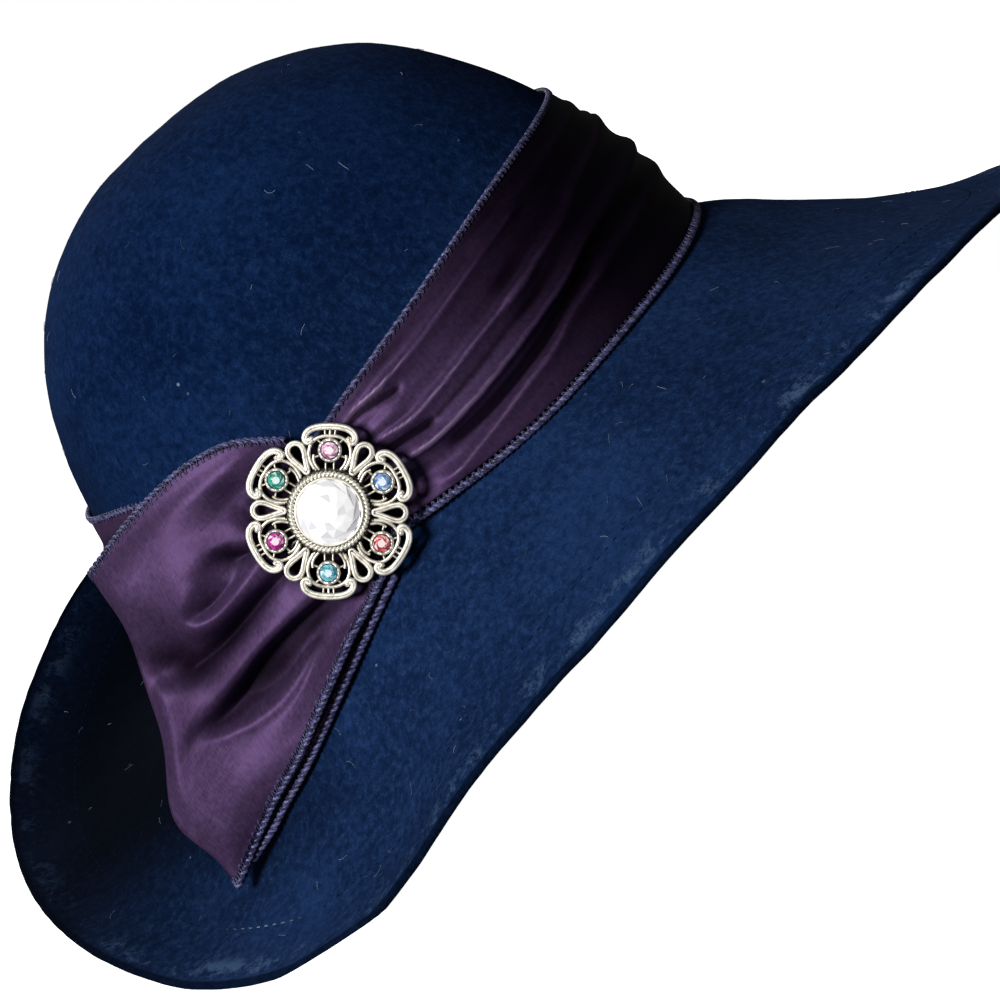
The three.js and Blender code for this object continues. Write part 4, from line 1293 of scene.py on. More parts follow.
    def build(self, ribbon: Material, thread: Material) -> list[Piece]:
        along, side = self.stations()
        up = np.linspace(0, 1, self.rows)
        middle = self.surface(along[None, :], side[None, :], up[:, None])
        grid = slab(middle, self.half, wrap=False)
        travel = travelled(middle[self.rows // 2])
        skin = Skin()
        deep = self.hollow(along[None, :], side[None, :], up[:, None])
        # Painted shade of the folds and the brooch's painted shadow.
        tone = slab_tone(both(deep, brooch_shadow(middle)))
        ids = skin.grid(grid, pattern(travel, slab_rows(up) * 80), tone, wrap_rows=True)
        for column, flip in ((0, False), (-1, True)):
            ring = ids[:, column]
            half = len(ring) // 2
            left = ring[:half]
            right = np.roll(ring[::-1], -3)[:half]
            strip = np.stack([left[:-1], left[1:], right[1:], right[:-1]], -1)
            skin.quads(strip if flip else strip[:, ::-1])
        loop = dress(skin.to_object("ribbon_loop_folds"), ribbon, "ribbon_loop")
        cords = [
            self.build_cord("loop_edge_cord_lower", thread, self.lower_cord, 0),
            self.build_cord("loop_edge_cord_upper", thread, self.upper_cord, 1),
        ]
        return [loop, *cords]


@dataclass(frozen=True)
class Stone:
    """A small cut stone: its name, its place round the brooch and its colour."""

    name: str
    turn: float
    colour: Colour
    dark: Colour

    @property
    def spark(self) -> Colour:
        """The near-white of a painted glint, on the table and on some facets at random."""
        return tuple(0.75 + 0.25 * value for value in self.colour)


@dataclass(frozen=True)
class Brooch:
    """A round pierced brooch: a domed centre stone in a rope ring, six petals and six drops."""

    centre: tuple[float, float, float] = (-37, -91.8, 82.8)
    azimuth: float = 265.0
    elevation: float = 10.0
    turn: float = 47.0
    petals: int = 6
    ring: float = 10.75
    cup_at: float = 17.2
    stones: tuple[Stone, ...] = (
        Stone("stone_pink", 0, (0.85, 0.42, 0.66), (0.3, 0.08, 0.2)),
        Stone("stone_sky", 300, (0.3, 0.52, 0.85), (0.06, 0.14, 0.34)),
        Stone("stone_coral", 240, (0.85, 0.13, 0.12), (0.3, 0.02, 0.03)),
        Stone("stone_aqua", 180, (0.2, 0.62, 0.75), (0.03, 0.2, 0.3)),
        Stone("stone_fuchsia", 120, (0.72, 0.05, 0.45), (0.24, 0.01, 0.14)),
        Stone("stone_green", 60, (0.04, 0.5, 0.36), (0.01, 0.14, 0.1)),
    )
    # half of each wire, as (away from the brooch's middle, aside)
    scroll: Pairs = (
        (23.9, 0), (23.75, 2.6), (23.2, 4.9), (22.1, 6.5), (20.6, 7.1), (19.6, 6.7), (19.5, 5.8),
        (20.2, 5.4),
    )
    outer_shoe: Pairs = (
        (21.2, 0), (21.1, 1.8), (20.4, 3.8), (18.9, 5.3), (16.6, 5.9), (14.2, 5.5), (11.9, 4.3),
    )
    inner_shoe: Pairs = ((15.9, 4.5), (14.6, 4.6), (13.2, 4.1), (11.6, 2.9))
    tear: Pairs = (
        (21.6, 0), (21.2, 1.25), (19.9, 2.15), (18.1, 2.05), (16.2, 1.4), (14.3, 0.75), (12.6, 0.3),
    )
    flare: Pairs = ((15.2, 1.5), (13.6, 2.1), (11.9, 2.5))
    # side views of what is turned, as (radius, height)
    cup_side: Pairs = (
        (0.3, 0), (3.2, 0), (3.45, 0.5), (3.4, 1.7), (3.1, 2.35), (2.7, 2.4), (2.45, 2.1),
        (2.5, 0.9), (0.3, 0.8),
    )
    ring_side: Pairs = (
        (9, 0), (12.3, 0), (12.5, 0.7), (11.9, 1.15), (9.95, 1.3), (9.75, 2.95), (9.2, 3), (9, 2.2),
    )
    plate_side: Pairs = ((0.3, 0), (9.3, 0), (9.3, 0.8), (0.3, 0.8))
    tall: float = 2.4  # height at which the metal is worn brightest
    groove_tone: float = 0.55
    twists: int = 28  # turns of the rope's plies on their way round
    prongs: int = 8
    # rings of a cut stone's corners, as (radius, height, share of a corner that it is turned by)
    centre_cut: Triples = (
        (8.6, 1.1, 0), (9.2, 2.2, 0), (8.9, 3.3, 0.5), (7.4, 4.9, 0), (5.2, 5.9, 0.5),
        (2.9, 6.45, 0),
    )
    small_cut: Triples = (
        (2.0, 1.1, 0), (2.5, 1.9, 0), (2.3, 2.4, 0.5), (1.5, 3.05, 0), (1.1, 3.2, 0.5),
    )
    # painted shadow on the cloth behind it: how dark, and where that starts to fade and ends
    shade: tuple[float, float, float] = (0.9, 19.5, 26.5)

    def axes(self) -> tuple[Array, Array, Array]:
        """The brooch's right, up and facing directions."""
        a, e = math.radians(self.azimuth), math.radians(self.elevation)
        facing = turned(math.cos(e), math.sin(e), a)
        right = unit(np.cross(UP, facing))
        return right, np.cross(facing, right), facing

    def placed(self, skin: Skin) -> Skin:
        """Moves a piece from the brooch's own frame to the crown's."""
        frame = np.stack(self.axes())
        skin.points = [np.array(self.centre) + p @ frame for p in skin.points]
        return skin

    @staticmethod
    def wire_outline(wide: float, high: float, groove: float) -> Array:
        """Cross-section of a cast wire: flat back, rounded shoulders, a shallow groove on top."""
        side = [(0.9, 0), (1, 0.3), (0.98, 0.7), (0.8, 0.93), (0.5, 1)]
        right = np.array(side) * (wide / 2, high)
        left = right[::-1] * (-1, 1)
        return np.concatenate([left[-1:], right, [(0, high - groove)], left[:-1]])

    def wire(
        self,
        skin: Skin,
        line: Array,
        wide: float,
        high: float,
        turn: float,
        closed: bool = False,
        groove: float = 0.0,
        base: float = 0.0,
    ) -> None:
        """Adds a cast wire along a flat line.

        Args:
            skin: what the wire is added to.
            line: its centre line before it is turned, shaped (points, 2).
            wide: its width.
            high: its height.
            turn: degrees it is turned round the brooch's middle.
            closed: whether the line closes.
            groove: depth of the groove along its top.
            base: height of its back.
        """
        count = len(line)
        centres = np.concatenate([spun(line, turn), np.full((count, 1), base)], axis=1)
        outline = self.wire_outline(wide, high, groove)[::-1] * np.array([-1, 1])
        levels = (outline[:, 1] + base) / self.tall
        if groove:
            levels = np.where(outline[:, 0] == 0, self.groove_tone, levels)
        tone = np.broadcast_to(levels[:, None], (len(outline), count))
        skin.tube(centres, np.tile(UP, (count, 1)), outline, closed, tone)

    @staticmethod
    def mirrored(half: Sequence[Sequence[float]]) -> Array:
        """A whole symmetrical line from the half that starts on the axis."""
        curve = smooth_path(half)
        return np.concatenate([curve[:0:-1] * np.array([1, -1]), curve])

    @staticmethod
    def lathe(skin: Skin, points: Array, at: Array, tone: Array, tips: tuple[float, float]) -> None:
        """Adds a turned solid, closed by a fan at each end of its rows.

        Args:
            skin: what it is added to.
            points: its rows round its axis, from its underside to its top.
            at: where its middle stands.
            tone: a number for each point.
            tips: heights of the fans' middles.
        """
        ids = skin.grid(points + at, tone=tone, wrap_columns=True)
        skin.fan(ids[0][::-1], at + UP * tips[0], float(tone[0, 0]))
        skin.fan(ids[-1], at + UP * tips[1], float(tone[-1, 0]))

    def ball(self, skin: Skin, at: Array, radius: float) -> None:
        """Adds a small cast ball, turned from a half circle."""
        lean = np.linspace(-np.pi / 2 + 0.15, np.pi / 2 - 0.15, 7)[:, None]
        angle = 2 * np.pi * np.arange(10) / 10
        points = turned(radius * np.cos(lean), radius * np.sin(lean), angle)
        tone = np.clip((points[..., 2] + at[2]) / self.tall, 0, 1)
        self.lathe(skin, points, at, tone, (-radius, radius))

    def petal(self, skin: Skin, turn: float) -> None:
        """Adds one petal: its scroll, the nested horseshoes, posts, spokes and the stone's cup."""
        self.wire(skin, self.mirrored(self.scroll), 2.05, 2.2, turn, groove=0.2)
        self.wire(skin, self.mirrored(self.outer_shoe), 1.1, 1.7, turn)
        cup = self.cup_at
        for side in (1, -1):
            arm = smooth_path(np.array(self.inner_shoe) * (1, side))
            self.wire(skin, arm, 0.9, 1.6, turn)
            for ends in (
                ((11.4, 1.15), (cup - 3.0, 1.15)),
                ((20.9, 1.35), (23.4, 1.5)),
                ((cup - 1.6, 3.1), (cup - 2.2, 4.7)),
                ((cup + 2.0, 2.6), (cup + 3.2, 3.9)),
            ):
                self.wire(skin, smooth_path(np.array(ends) * (1, side), 3), 0.7, 1.5, turn)
            tip = spun(np.array([20.35, 5.25 * side]), turn)
            self.ball(skin, np.append(tip, 1.3), 0.85)
        self.wire(skin, smooth_path(((cup + 3.2, 0), (23.4, 0)), 3), 0.8, 1.6, turn)
        self.cup(skin, turned(cup, 0.0, math.radians(turn)))

    def cup(self, skin: Skin, middle: Array) -> None:
        """Adds a stone's cup, turned from its side view, with a rim that rises in prongs."""
        side = np.array(self.cup_side)
        out = side[:, :1]
        angle = 2 * np.pi * np.arange(48) / 48
        gap = 1 - smoothstep(np.cos(angle * self.prongs), -0.2, 0.7)
        z = side[:, 1:] + 0 * angle
        rim = smoothstep(z, 1.5, 2.3) * (out > 2.2)
        radius = out - rim * gap * 0.1 * (out - 3.0)
        z = z - rim * gap * 0.45
        tone = np.clip(z / 2.3, 0, 1) * (out > 2.6)
        self.lathe(skin, turned(radius, z, angle), middle, tone, (0.0, side[-1, 1]))

    def drop(self, skin: Skin, turn: float) -> None:
        """Adds one drop between two petals: a closed loop of grooved wire that narrows inwards."""
        curve = smooth_path(self.tear, 6)
        line = np.concatenate([curve, curve[:0:-1] * np.array([1, -1])])
        self.wire(skin, line, 1.75, 2.0, turn, closed=True, groove=0.2)
        for side in (1, -1):
            flare = smooth_path(np.array(self.flare) * (1, side), 4)
            self.wire(skin, flare, 0.9, 1.5, turn)

    def rope(self, skin: Skin) -> None:
        """Adds the rope ring: two plies turning round a circle, on a plain band."""
        count = 2 * self.twists * 9
        angle = 2 * np.pi * np.arange(count) / count
        spoke = turned(1.0, 0.0, angle)
        for ply in range(2):
            phase = (angle * self.twists + np.pi * ply)[:, None]
            away = np.cos(phase) * spoke + np.sin(phase) * UP
            line = spoke * self.ring + UP * 2.0 + 0.42 * away
            tone = np.broadcast_to(0.55 + 0.45 * np.sin(phase).T, (8, count))
            skin.tube(line, away, circle(8, 0.48), True, tone)
        side = np.array(self.ring_side)
        ring = turned(side[:, :1], side[:, 1:], angle[::3])
        tone = np.clip(ring[..., 2] / 2.6, 0, 1)
        skin.grid(ring, tone=tone, wrap_rows=True, wrap_columns=True)
        side = np.array(self.plate_side)
        plate = turned(side[:, :1], side[:, 1:], angle[::9])
        tone = np.zeros(plate.shape[:2])
        self.lathe(skin, plate, np.zeros(3), tone, (0.0, side[-1, 1]))

    @staticmethod
    def cut_stone(levels: Sequence[Sequence[float]], corners: int, seed: int) -> Skin:
        """A faceted stone, its faces split so that each has one tone.

        Args:
            levels: for each ring of corners, its radius, its height and the share of a corner's
                angle that it is turned by.
            corners: how many corners a ring has.
            seed: start of the random tones.

        Returns:
            The stone, open nowhere, with every facet's corners its own.
        """
        rings = [
            turned(radius, z, 2 * np.pi * (np.arange(corners) + offset) / corners)
            for radius, z, offset in levels
        ]
        facets = []
        for low, high in zip(rings[:-1], rings[1:]):
            after, high_after = np.roll(low, -1, axis=0), np.roll(high, -1, axis=0)
            facets += [np.stack(t, 1) for t in ((low, after, high), (after, high_after, high))]
        points = np.concatenate(facets)
        tones = np.random.default_rng(seed).uniform(0, 1, len(points))
        skin = Skin()
        start = skin.store(points, np.repeat(tones[:, None], 3, axis=1))
        skin.quads(start + np.arange(len(points) * 3).reshape(-1, 3))
        # The table's tone is high, for a painted highlight, and the underside's low.
        for ring, level, tone, flip in (
            (rings[-1], levels[-1], 0.9, 1),
            (rings[0], levels[0], 0.1, -1),
        ):
            ids = skin.store(ring, tone) + np.arange(corners)
            skin.fan(ids[::flip], np.array([0, 0, level[1]]), tone)
        return skin

    def build(self, silver: Material, clear: Material) -> list[Piece]:
        """Makes the frame, the centre stone and the six small stones."""
        skin = Skin()
        self.rope(skin)
        for k in range(self.petals):
            turn = self.turn + 360 * k / self.petals
            self.petal(skin, turn)
            self.drop(skin, turn + 30)
        frame = self.placed(skin).to_object("brooch_filigree")
        pieces = [dress(frame, silver, "brooch_frame")]
        centre = self.placed(self.cut_stone(self.centre_cut, 12, 21))
        stone = centre.to_object("centre_stone_cut", smooth=False)
        pieces.append(dress(stone, clear, "centre_stone"))
        for k, gem in enumerate(self.stones):
            cut = self.cut_stone(self.small_cut, 10, 30 + k)
            move = turned(self.cup_at, 0.0, math.radians(self.turn + gem.turn))
            cut.points = [p + move for p in cut.points]
            piece = self.placed(cut).to_object(f"{gem.name}_cut", smooth=False)
            pieces.append(dress(piece, gem_finish(gem), gem.name))
        return pieces


def brooch_shadow(points: Array) -> Array:
    """Painted shadow of the brooch on the cloth behind it: full inside its rim, nothing outside it."""
    brooch = Brooch()
    most, start, end = brooch.shade
    facing = brooch.axes()[2]
    away = points - np.array(brooch.centre)
    away = away - (away @ facing)[..., None] * facing
    return most * (1 - smoothstep(np.linalg.norm(away, axis=-1), start, end))


# Finishes


@dataclass
class Value:
    """A number or colour that flows through a material, so that shader maths reads as plain sums."""

    graph: "Graph"
    socket: Any

    def _math(self, operation: str, *others: Any) -> "Value":
        """A Math node of this value and others."""
        inputs = dict(enumerate((self, *others)))
        return self.graph.node("ShaderNodeMath", {"operation": operation}, inputs)

    def __add__(self, other: Any) -> "Value":
        """Sum."""
        return self._math("ADD", other)

    __radd__ = __add__

    def __mul__(self, other: Any) -> "Value":
        """Product."""
        return self._math("MULTIPLY", other)

    __rmul__ = __mul__

    def __sub__(self, other: Any) -> "Value":
        """Difference."""
        return self._math("SUBTRACT", other)

    def __rsub__(self, other: float) -> "Value":
        """A number less this value."""
        return self.graph.node("ShaderNodeMath", {"operation": "SUBTRACT"}, {0: other, 1: self})

    def step(self, low: float, high: float) -> "Value":
        """A smooth rise from 0 at low to 1 at high, or a fall where low is above high."""
        return self.graph.node(
            "ShaderNodeMapRange",
            {"interpolation_type": "SMOOTHSTEP"},
            {"Value": self, "From Min": low, "From Max": high},
        )


class Graph:
    """A material under construction."""

    def __init__(self, name: str) -> None:
        """Starts a material that holds only its output."""
        self.material = bpy.data.materials.new(name)
        self.material.use_nodes = True
        self.tree = self.material.node_tree
        self.tree.nodes.clear()
        self.output = self.tree.nodes.new("ShaderNodeOutputMaterial")

    def node(
        self,
        kind: str,
        settings: dict[str, Any] | None = None,
        inputs: dict[Any, Any] | None = None,
        output: Any = 0,
    ) -> Value:
        """Adds a node.

        Args:
            kind: the node's type.
            settings: its own settings, which are set first.
            inputs: values or links by socket name or number.
            output: the output that is returned.

        Returns:
            The chosen output as a value.
        """
        node = self.tree.nodes.new(kind)
        for key, value in (settings or {}).items():
            setattr(node, key, value)
        for key, value in (inputs or {}).items():
            if isinstance(value, Value):
                self.tree.links.new(value.socket, node.inputs[key])
            else:
                node.inputs[key].default_value = value
        return Value(self, node.outputs[output])

    def place(self, scale: Sequence[float] = (1, 1, 1), uv: bool = False) -> Value:
        """Object coordinates, or the piece's own pattern coordinates, stretched."""
        if uv:
            source = self.node("ShaderNodeUVMap", {"uv_map": "pattern"})
        else:
            source = self.node("ShaderNodeTexCoord", output="Object")
        return self.node("ShaderNodeMapping", inputs={"Vector": source, "Scale": tuple(scale)})

    def noise(self, at: Value, scale: float, detail: float = 3.0, twist: float = 0.0) -> Value:
        """Cloudy noise between 0 and 1."""
        return self.node(
            "ShaderNodeTexNoise",
            inputs={"Vector": at, "Scale": scale, "Detail": detail, "Distortion": twist},
        )

    def tone(self) -> Value:
        """The number that each point of the piece carries."""
        return self.node("ShaderNodeAttribute", {"attribute_name": "tone"}, output="Fac")

    def mix(self, share: Any, first: Any, second: Any) -> Value:
        """A colour between two colours."""
        colours = {
            key: (*value, 1.0) if isinstance(value, tuple) else value
            for key, value in ((6, first), (7, second))
        }
        return self.node("ShaderNodeMix", {"data_type": "RGBA"}, {0: share, **colours}, output=2)

    def bump(self, height: Value, distance: float, strength: float = 1.0) -> Value:
        """A normal that follows a height."""
        return self.node(
            "ShaderNodeBump",
            inputs={"Height": height, "Distance": distance, "Strength": strength},
        )

    def surface(self, **inputs: Any) -> Material:
        """Ends the material with one shader. Socket names are given with _ for each space."""
        named = {key.replace("_", " "): value for key, value in inputs.items()}
        for key, value in named.items():
            if isinstance(value, tuple) and len(value) == 3:
                named[key] = (*value, 1.0)
        shader = self.node("ShaderNodeBsdfPrincipled", inputs=named)
        self.tree.links.new(shader.socket, self.output.inputs["Surface"])
        return self.material


@dataclass(frozen=True)
class FeltFinish:
    """Navy wool felt: a matted nap with cloudy dye, stray pale fibres, a rubbed edge, painted shade on
    the inner left brim and along the cut edge, and a brim painted paler than the crown.
    """

    crown: tuple[Colour, Colour] = ((0.0013, 0.007, 0.031), (0.0056, 0.0215, 0.079))
    brim: tuple[Colour, Colour] = ((0.0036, 0.012, 0.043), (0.0118, 0.0345, 0.112))
    shade: Colour = (0.0001, 0.0007, 0.0022)
    pale: Colour = (0.036, 0.076, 0.175)
    chalk: Colour = (0.06, 0.11, 0.21)
    lint: Colour = (0.22, 0.3, 0.42)

    def build(self) -> Material:
        """Makes the material."""
        g = Graph("navy_wool_felt")
        at = g.place()
        cloud = g.noise(at, 22, 4, 0.4)
        mottle = g.noise(at, 420, 5, 0.3)
        nap = g.noise(g.place((1, 1, 0.6)), 1300, 4, 1.0)
        fuzz = g.noise(at, 2600, 2, 0.5)
        sideways, height = (
            g.node("ShaderNodeSeparateXYZ", inputs={"Vector": at}, output=axis) for axis in "XZ"
        )
        # Paler on the brim and darker up the crown, by height: partly painted light on the brim and
        # painted shade on the crown top.
        brim_share = (height + cloud * 0.05).step(0.17, 0.08)
        dark = g.mix(brim_share, self.crown[0], self.brim[0])
        light = g.mix(brim_share, self.crown[1], self.brim[1])
        blend = cloud * 0.55 + mottle * 0.6 + nap * 0.45
        body = g.mix(blend.step(0.58, 1.02), dark, light)
        edge = g.tone()
        # Painted shade on the inner left brim, where the upturned brim shades the felt; a little less
        # of it towards the rim.
        kept = sideways.step(-0.07, -0.12) * height.step(0.0, 0.042)
        kept = kept * (edge.step(0.0, 30.0) * 0.16 + 0.84)
        body = g.mix(kept * 0.98, body, self.shade)
        # The share left out of that painted shade, where the streaks and the rubbing show.
        worn = 1.0 - kept * 0.95
        streak = (mottle * 0.4 + nap * 0.4 + fuzz * 0.3).step(0.57, 0.78)
        body = g.mix(streak * (brim_share * 0.32 + 0.16) * worn, body, self.pale)
        flecks = g.noise(at, 60, 5, 0.6) * 0.6 + mottle * 0.25 + nap * 0.25
        rubbed = edge.step(1.4, 3.4) * edge.step(13.0, 5.0) * flecks.step(0.54, 0.68)
        body = g.mix(rubbed * worn * 0.85, body, self.chalk)
        # Painted shade along the felt's cut edge.
        body = g.mix(edge.step(1.4, 0.3) * 0.75, body, self.shade)
        cell = g.node("ShaderNodeTexVoronoi", inputs={"Vector": at, "Scale": 150.0})
        rare = g.noise(at, 55, 1).step(0.64, 0.72)
        speck = cell.step(0.11, 0.045) * rare
        body = g.mix(speck * 0.75, body, self.lint)
        relief = nap * 0.55 + mottle * 0.5 + fuzz * 0.25
        return g.surface(
            Base_Color=body,
            Roughness=0.95,
            Specular_IOR_Level=0.015,
            Sheen_Weight=0.011,
            Sheen_Roughness=0.5,
            Sheen_Tint=(0.5, 0.6, 0.9),
            Normal=g.bump(relief, 0.0006, 0.8),
        )


@dataclass(frozen=True)
class ThreadFinish:
    """Sewing thread and lint, from the felt's navy to a dusty pale blue by each piece's tone."""

    navy: Colour = (0.0028, 0.0095, 0.033)
    pale: Colour = (0.24, 0.32, 0.42)

    def build(self) -> Material:
        """Makes the material."""
        g = Graph("fine_thread")
        fibre = g.noise(g.place((400, 6000, 1), uv=True), 1.0, 2)
        colour = g.mix(g.tone() * (fibre * 0.5 + 0.75), self.navy, self.pale)
        return g.surface(
            Base_Color=colour,
            Roughness=0.9,
            Specular_IOR_Level=0.02,
            Normal=g.bump(fibre, 0.00008, 0.6),
        )


@dataclass(frozen=True)
class RibbonFinish:
    """Aubergine taffeta: a close weave whose cross threads catch the light in fine dashes."""

    # depth is the colour of painted shade in folds and of the brooch's painted shadow; worn is the
    # colour of the painted highlight on fold ridges.
    depth: Colour = (0.0022, 0.0008, 0.0034)
    shade: Colour = (0.036, 0.017, 0.051)
    body: Colour = (0.06, 0.031, 0.087)
    gloss: Colour = (0.112, 0.067, 0.157)
    worn: Colour = (0.27, 0.19, 0.31)

    def build(self) -> Material:
        """Makes the material. Pattern coordinates are metres along and across the ribbon."""
        g = Graph("aubergine_taffeta")
        weft = g.noise(g.place((3600, 420, 1), uv=True), 1.0, 2)
        warp = g.noise(g.place((300, 3200, 1), uv=True), 1.0, 2)
        slub = g.noise(g.place((1100, 45, 1), uv=True), 1.0, 2)
        cloud = g.noise(g.place(), 38, 3)
        grain = g.noise(g.place(), 650, 3)
        wrinkle = g.noise(g.place((22, 210, 1), uv=True), 1.0, 3, 0.4)
        weave = weft * 0.4 + warp * 0.2 + slub * 0.15 + grain * 0.25
        colour = g.mix(weave.step(0.36, 0.66), self.body, self.gloss)
        colour = g.mix(cloud.step(0.75, 0.4) * 0.35, colour, self.shade)
        # Painted highlight on fold ridges, where the tone is below nothing.
        colour = g.mix(g.tone().step(0.0, -1.0) * 0.48, colour, self.worn)
        # Painted shade in folds and behind the brooch, by the tone.
        colour = g.mix(g.tone() * 0.97, colour, self.depth)
        return g.surface(
            Base_Color=colour,
            Metallic=0.42,
            Roughness=weave.step(0.3, 0.8) * 0.1 + 0.47,
            Specular_IOR_Level=0.03,
            Normal=g.bump(weave * 0.5 + wrinkle, 0.0003, 0.6),
        )


@dataclass(frozen=True)
class CordFinish:
    """Navy twisted cord of fine glossy filaments, with a darker oversewing thread."""

    dark: Colour = (0.022, 0.021, 0.08)
    light: Colour = (0.19, 0.19, 0.42)
    thread: Colour = (0.014, 0.012, 0.05)

    def build(self) -> Material:
        """Makes the material. Filaments run slanting along each ply's own pattern."""
        g = Graph("navy_twisted_cord")
        hair = g.noise(g.place((900, 9000, 1), uv=True), 1.0, 2, 0.3)
        patch = g.noise(g.place(), 420, 2)
        colour = g.mix(hair.step(0.35, 0.7), self.dark, self.light)
        colour = g.mix(g.tone() * patch.step(0.3, 0.6), colour, self.thread)
        return g.surface(
            Base_Color=colour,
            Roughness=0.42,
            Specular_IOR_Level=0.5,
            Sheen_Weight=0.15,
            Sheen_Roughness=0.4,
            Normal=g.bump(hair, 0.00012, 0.7),
        )


@dataclass(frozen=True)
class SilverFinish:
    """Cast antique silver: bright worn tops, tarnish low down and in the hollows."""

    bright: Colour = (0.95, 0.92, 0.82)
    warm: Colour = (0.5, 0.45, 0.35)
    tarnish: Colour = (0.025, 0.021, 0.018)

    def build(self) -> Material:
        """Makes the material."""
        g = Graph("antique_cast_silver")
        at = g.place()
        grain = g.noise(at, 1500, 4)
        blot = g.noise(at, 420, 3)
        level = g.tone() + grain * 0.22 - 0.11
        colour = g.mix(level.step(0.36, 0.7), self.tarnish, self.warm)
        colour = g.mix((level + blot * 0.3).step(0.72, 0.98), colour, self.bright)
        return g.surface(
            Base_Color=colour,
            Metallic=0.6,
            Roughness=blot.step(0.3, 0.75) * 0.16 + 0.3,
            Normal=g.bump(grain * 0.6 + blot * 0.6, 0.00009, 0.7),
        )


@dataclass(frozen=True)
class SteelFinish:
    """Plain drawn steel wire with fine lines along it."""

    colour: Colour = (0.5, 0.5, 0.52)

    def build(self) -> Material:
        """Makes the material."""
        g = Graph("drawn_steel")
        line = g.noise(g.place((60, 3000, 3000)), 1.0, 2)
        return g.surface(
            Base_Color=g.mix(line.step(0.3, 0.7), (0.32, 0.32, 0.34), self.colour),
            Metallic=1.0,
            Roughness=line.step(0.3, 0.7) * 0.15 + 0.25,
            Normal=g.bump(line, 0.00004),
        )


POLISH = {"Specular_IOR_Level": 0.9, "Coat_Weight": 1.0, "Coat_Roughness": 0.02}


def clear_finish() -> Material:
    """The foil-backed clear centre stone: each facet has its own pale tint as a painted reflection,
    the table is painted brightest, and a faint painted glow covers it.
    """
    g = Graph("clear_foiled_stone")
    tone = g.tone()
    colour = g.mix(tone.step(0.0, 0.3), (0.7, 0.69, 0.72), (0.95, 0.94, 0.95))
    colour = g.mix(tone.step(0.3, 0.8), colour, (1.0, 0.99, 0.97))
    haze = g.noise(g.place(), 700, 2)
    colour = g.mix(haze.step(0.62, 0.75) * 0.2, colour, (0.92, 0.86, 0.94))
    return g.surface(
        Base_Color=colour,
        # Faint painted glow, as if the stone were lit from within.
        Emission_Color=colour,
        Emission_Strength=0.28,
        Roughness=haze * 0.06 + 0.04,
        Normal=g.bump(haze, 0.00003, 0.4),
        **POLISH,
    )


def gem_finish(gem: Stone) -> Material:
    """A foil-backed coloured stone: facets from deep to bright as painted reflections, a near-white
    painted glint on the table and some facets, and a faint painted glow.
    """
    g = Graph(f"{gem.name}_foiled")
    haze = g.noise(g.place(), 900, 2)
    tone = g.tone() + haze * 0.3 - 0.15
    colour = g.mix(tone.step(0.1, 0.7), gem.dark, gem.colour)
    colour = g.mix(tone.step(0.78, 0.88), colour, gem.spark)
    return g.surface(
        Base_Color=colour,
        # Faint painted glow, as if the stone were lit from within.
        Emission_Color=colour,
        Emission_Strength=0.16,
        Roughness=haze * 0.06 + 0.05,
        **POLISH,
    )


# Studio


@dataclass(frozen=True)
class SoftLight:
    """An area light: where it stands, how wide it is, its strength and its tint."""

    place: tuple[float, float, float]
    width: float
    watts: float
    tint: Colour = (1.0, 1.0, 1.0)


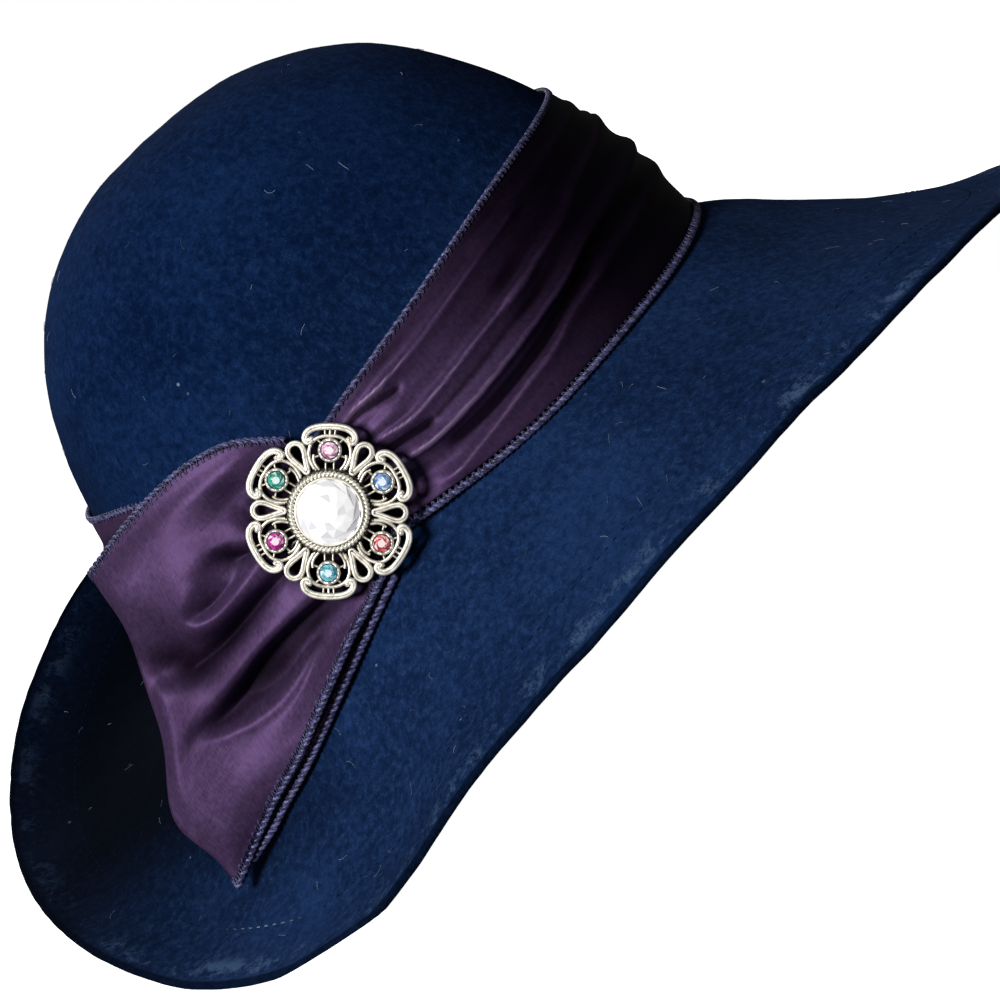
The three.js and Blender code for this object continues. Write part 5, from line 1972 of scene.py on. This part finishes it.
@dataclass(frozen=True)
class Studio:
    """The camera at the photograph's angle, a pale floor and soft light."""

    target: tuple[float, float, float] = (0.0004, -0.0366, 0.04)
    distance: float = 0.85
    elevation: float = 11.0
    roll: float = 43.0
    lens: float = 100.33
    sensor: float = 36.0
    floor_half: float = 14.0
    surround: float = 0.055  # strength of the pale surround's light on the hat
    aim: tuple[float, float, float] = (0, 0, 0.09)  # what the lights are turned to
    lights: tuple[SoftLight, ...] = (
        SoftLight((-0.65, -1.23, 0.89), 0.5, 25.0),
        SoftLight((-0.2, 1.15, 1.2), 1.0, 8.0),
    )

    def camera(self) -> None:
        """Places the camera. It looks down at the target and leans so that the hat tilts left."""
        e, roll = math.radians(self.elevation), math.radians(self.roll)
        back = Vector((0, -math.cos(e), math.sin(e)))
        right = Vector((1, 0, 0))
        up = back.cross(right)
        across = right * math.cos(roll) - up * math.sin(roll)
        over = right * math.sin(roll) + up * math.cos(roll)
        data = bpy.data.cameras.new("photo_camera")
        data.lens = self.lens
        data.sensor_width = self.sensor
        data.clip_start, data.clip_end = 0.05, 50
        camera = bpy.data.objects.new("photo_camera", data)
        turn = Matrix((across, over, back)).transposed().to_4x4()
        camera.matrix_world = (
            Matrix.Translation(Vector(self.target) + back * self.distance) @ turn
        )
        bpy.context.scene.collection.objects.link(camera)
        bpy.context.scene.camera = camera

    def world(self) -> None:
        """A pale surround that the camera sees as white and that lights the hat softly."""
        world = bpy.data.worlds.new("studio")
        bpy.context.scene.world = world
        world.use_nodes = True
        nodes, links = world.node_tree.nodes, world.node_tree.links
        nodes.clear()
        seen, cast = (nodes.new("ShaderNodeBackground") for _ in range(2))
        seen.inputs["Color"].default_value = (1, 1, 1, 1)
        cast.inputs["Color"].default_value = (0.95, 0.97, 1, 1)
        cast.inputs["Strength"].default_value = self.surround
        path, blend = nodes.new("ShaderNodeLightPath"), nodes.new("ShaderNodeMixShader")
        out = nodes.new("ShaderNodeOutputWorld")
        links.new(path.outputs["Is Camera Ray"], blend.inputs[0])
        links.new(cast.outputs[0], blend.inputs[1])
        links.new(seen.outputs[0], blend.inputs[2])
        links.new(blend.outputs[0], out.inputs[0])

    def floor(self) -> None:
        """A wide pale floor that glows for the camera alone, so that it throws no light upwards."""
        f = self.floor_half
        mesh = bpy.data.meshes.new("floor")
        mesh.from_pydata([(-f, -f, 0), (f, -f, 0), (f, f, 0), (-f, f, 0)], [], [(0, 1, 2, 3)])
        floor = bpy.data.objects.new("floor", mesh)
        bpy.context.scene.collection.objects.link(floor)
        g = Graph("pale_floor")
        floor.data.materials.append(
            g.surface(
                Base_Color=(0.9, 0.9, 0.9),
                Roughness=0.9,
                Specular_IOR_Level=0.1,
                Emission_Color=(1.0, 1.0, 1.0),
                Emission_Strength=1.0,
            )
        )
        floor.visible_diffuse = False
        floor.visible_glossy = False

    def light(self) -> None:
        """Hangs the soft lights, each turned to the hat."""
        for k, soft in enumerate(self.lights):
            data = bpy.data.lights.new(f"soft_light_{k}", "AREA")
            data.shape = "DISK"
            data.size = soft.width
            data.energy = soft.watts
            data.color = soft.tint
            lamp = bpy.data.objects.new(f"soft_light_{k}", data)
            lamp.location = soft.place
            aim = Vector(self.aim) - Vector(soft.place)
            lamp.rotation_euler = aim.to_track_quat("-Z", "Y").to_euler()
            bpy.context.scene.collection.objects.link(lamp)

    def build(self) -> None:
        """Sets up the whole studio."""
        self.camera()
        self.world()
        self.floor()
        self.light()
        bpy.context.scene.view_settings.view_transform = "Standard"


def main() -> None:
    """Builds the hat's pieces in order."""
    logging.basicConfig(level=logging.INFO, format="%(name)s: %(message)s")
    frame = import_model()
    Studio().build()
    felt = Felt()
    ribbon, thread = RibbonFinish().build(), CordFinish().build()
    felt.build(FeltFinish().build())
    FeltTrim(felt).build(ThreadFinish().build())
    RibbonBand(felt).build(ribbon, thread)
    RibbonLoop().build(ribbon, thread)
    Brooch().build(SilverFinish().build(), clear_finish())
    pin = frame["nodes"]["brooch_pin"]
    pin.data.materials.clear()
    pin.data.materials.append(SteelFinish().build())


if __name__ == "__main__":
    main()
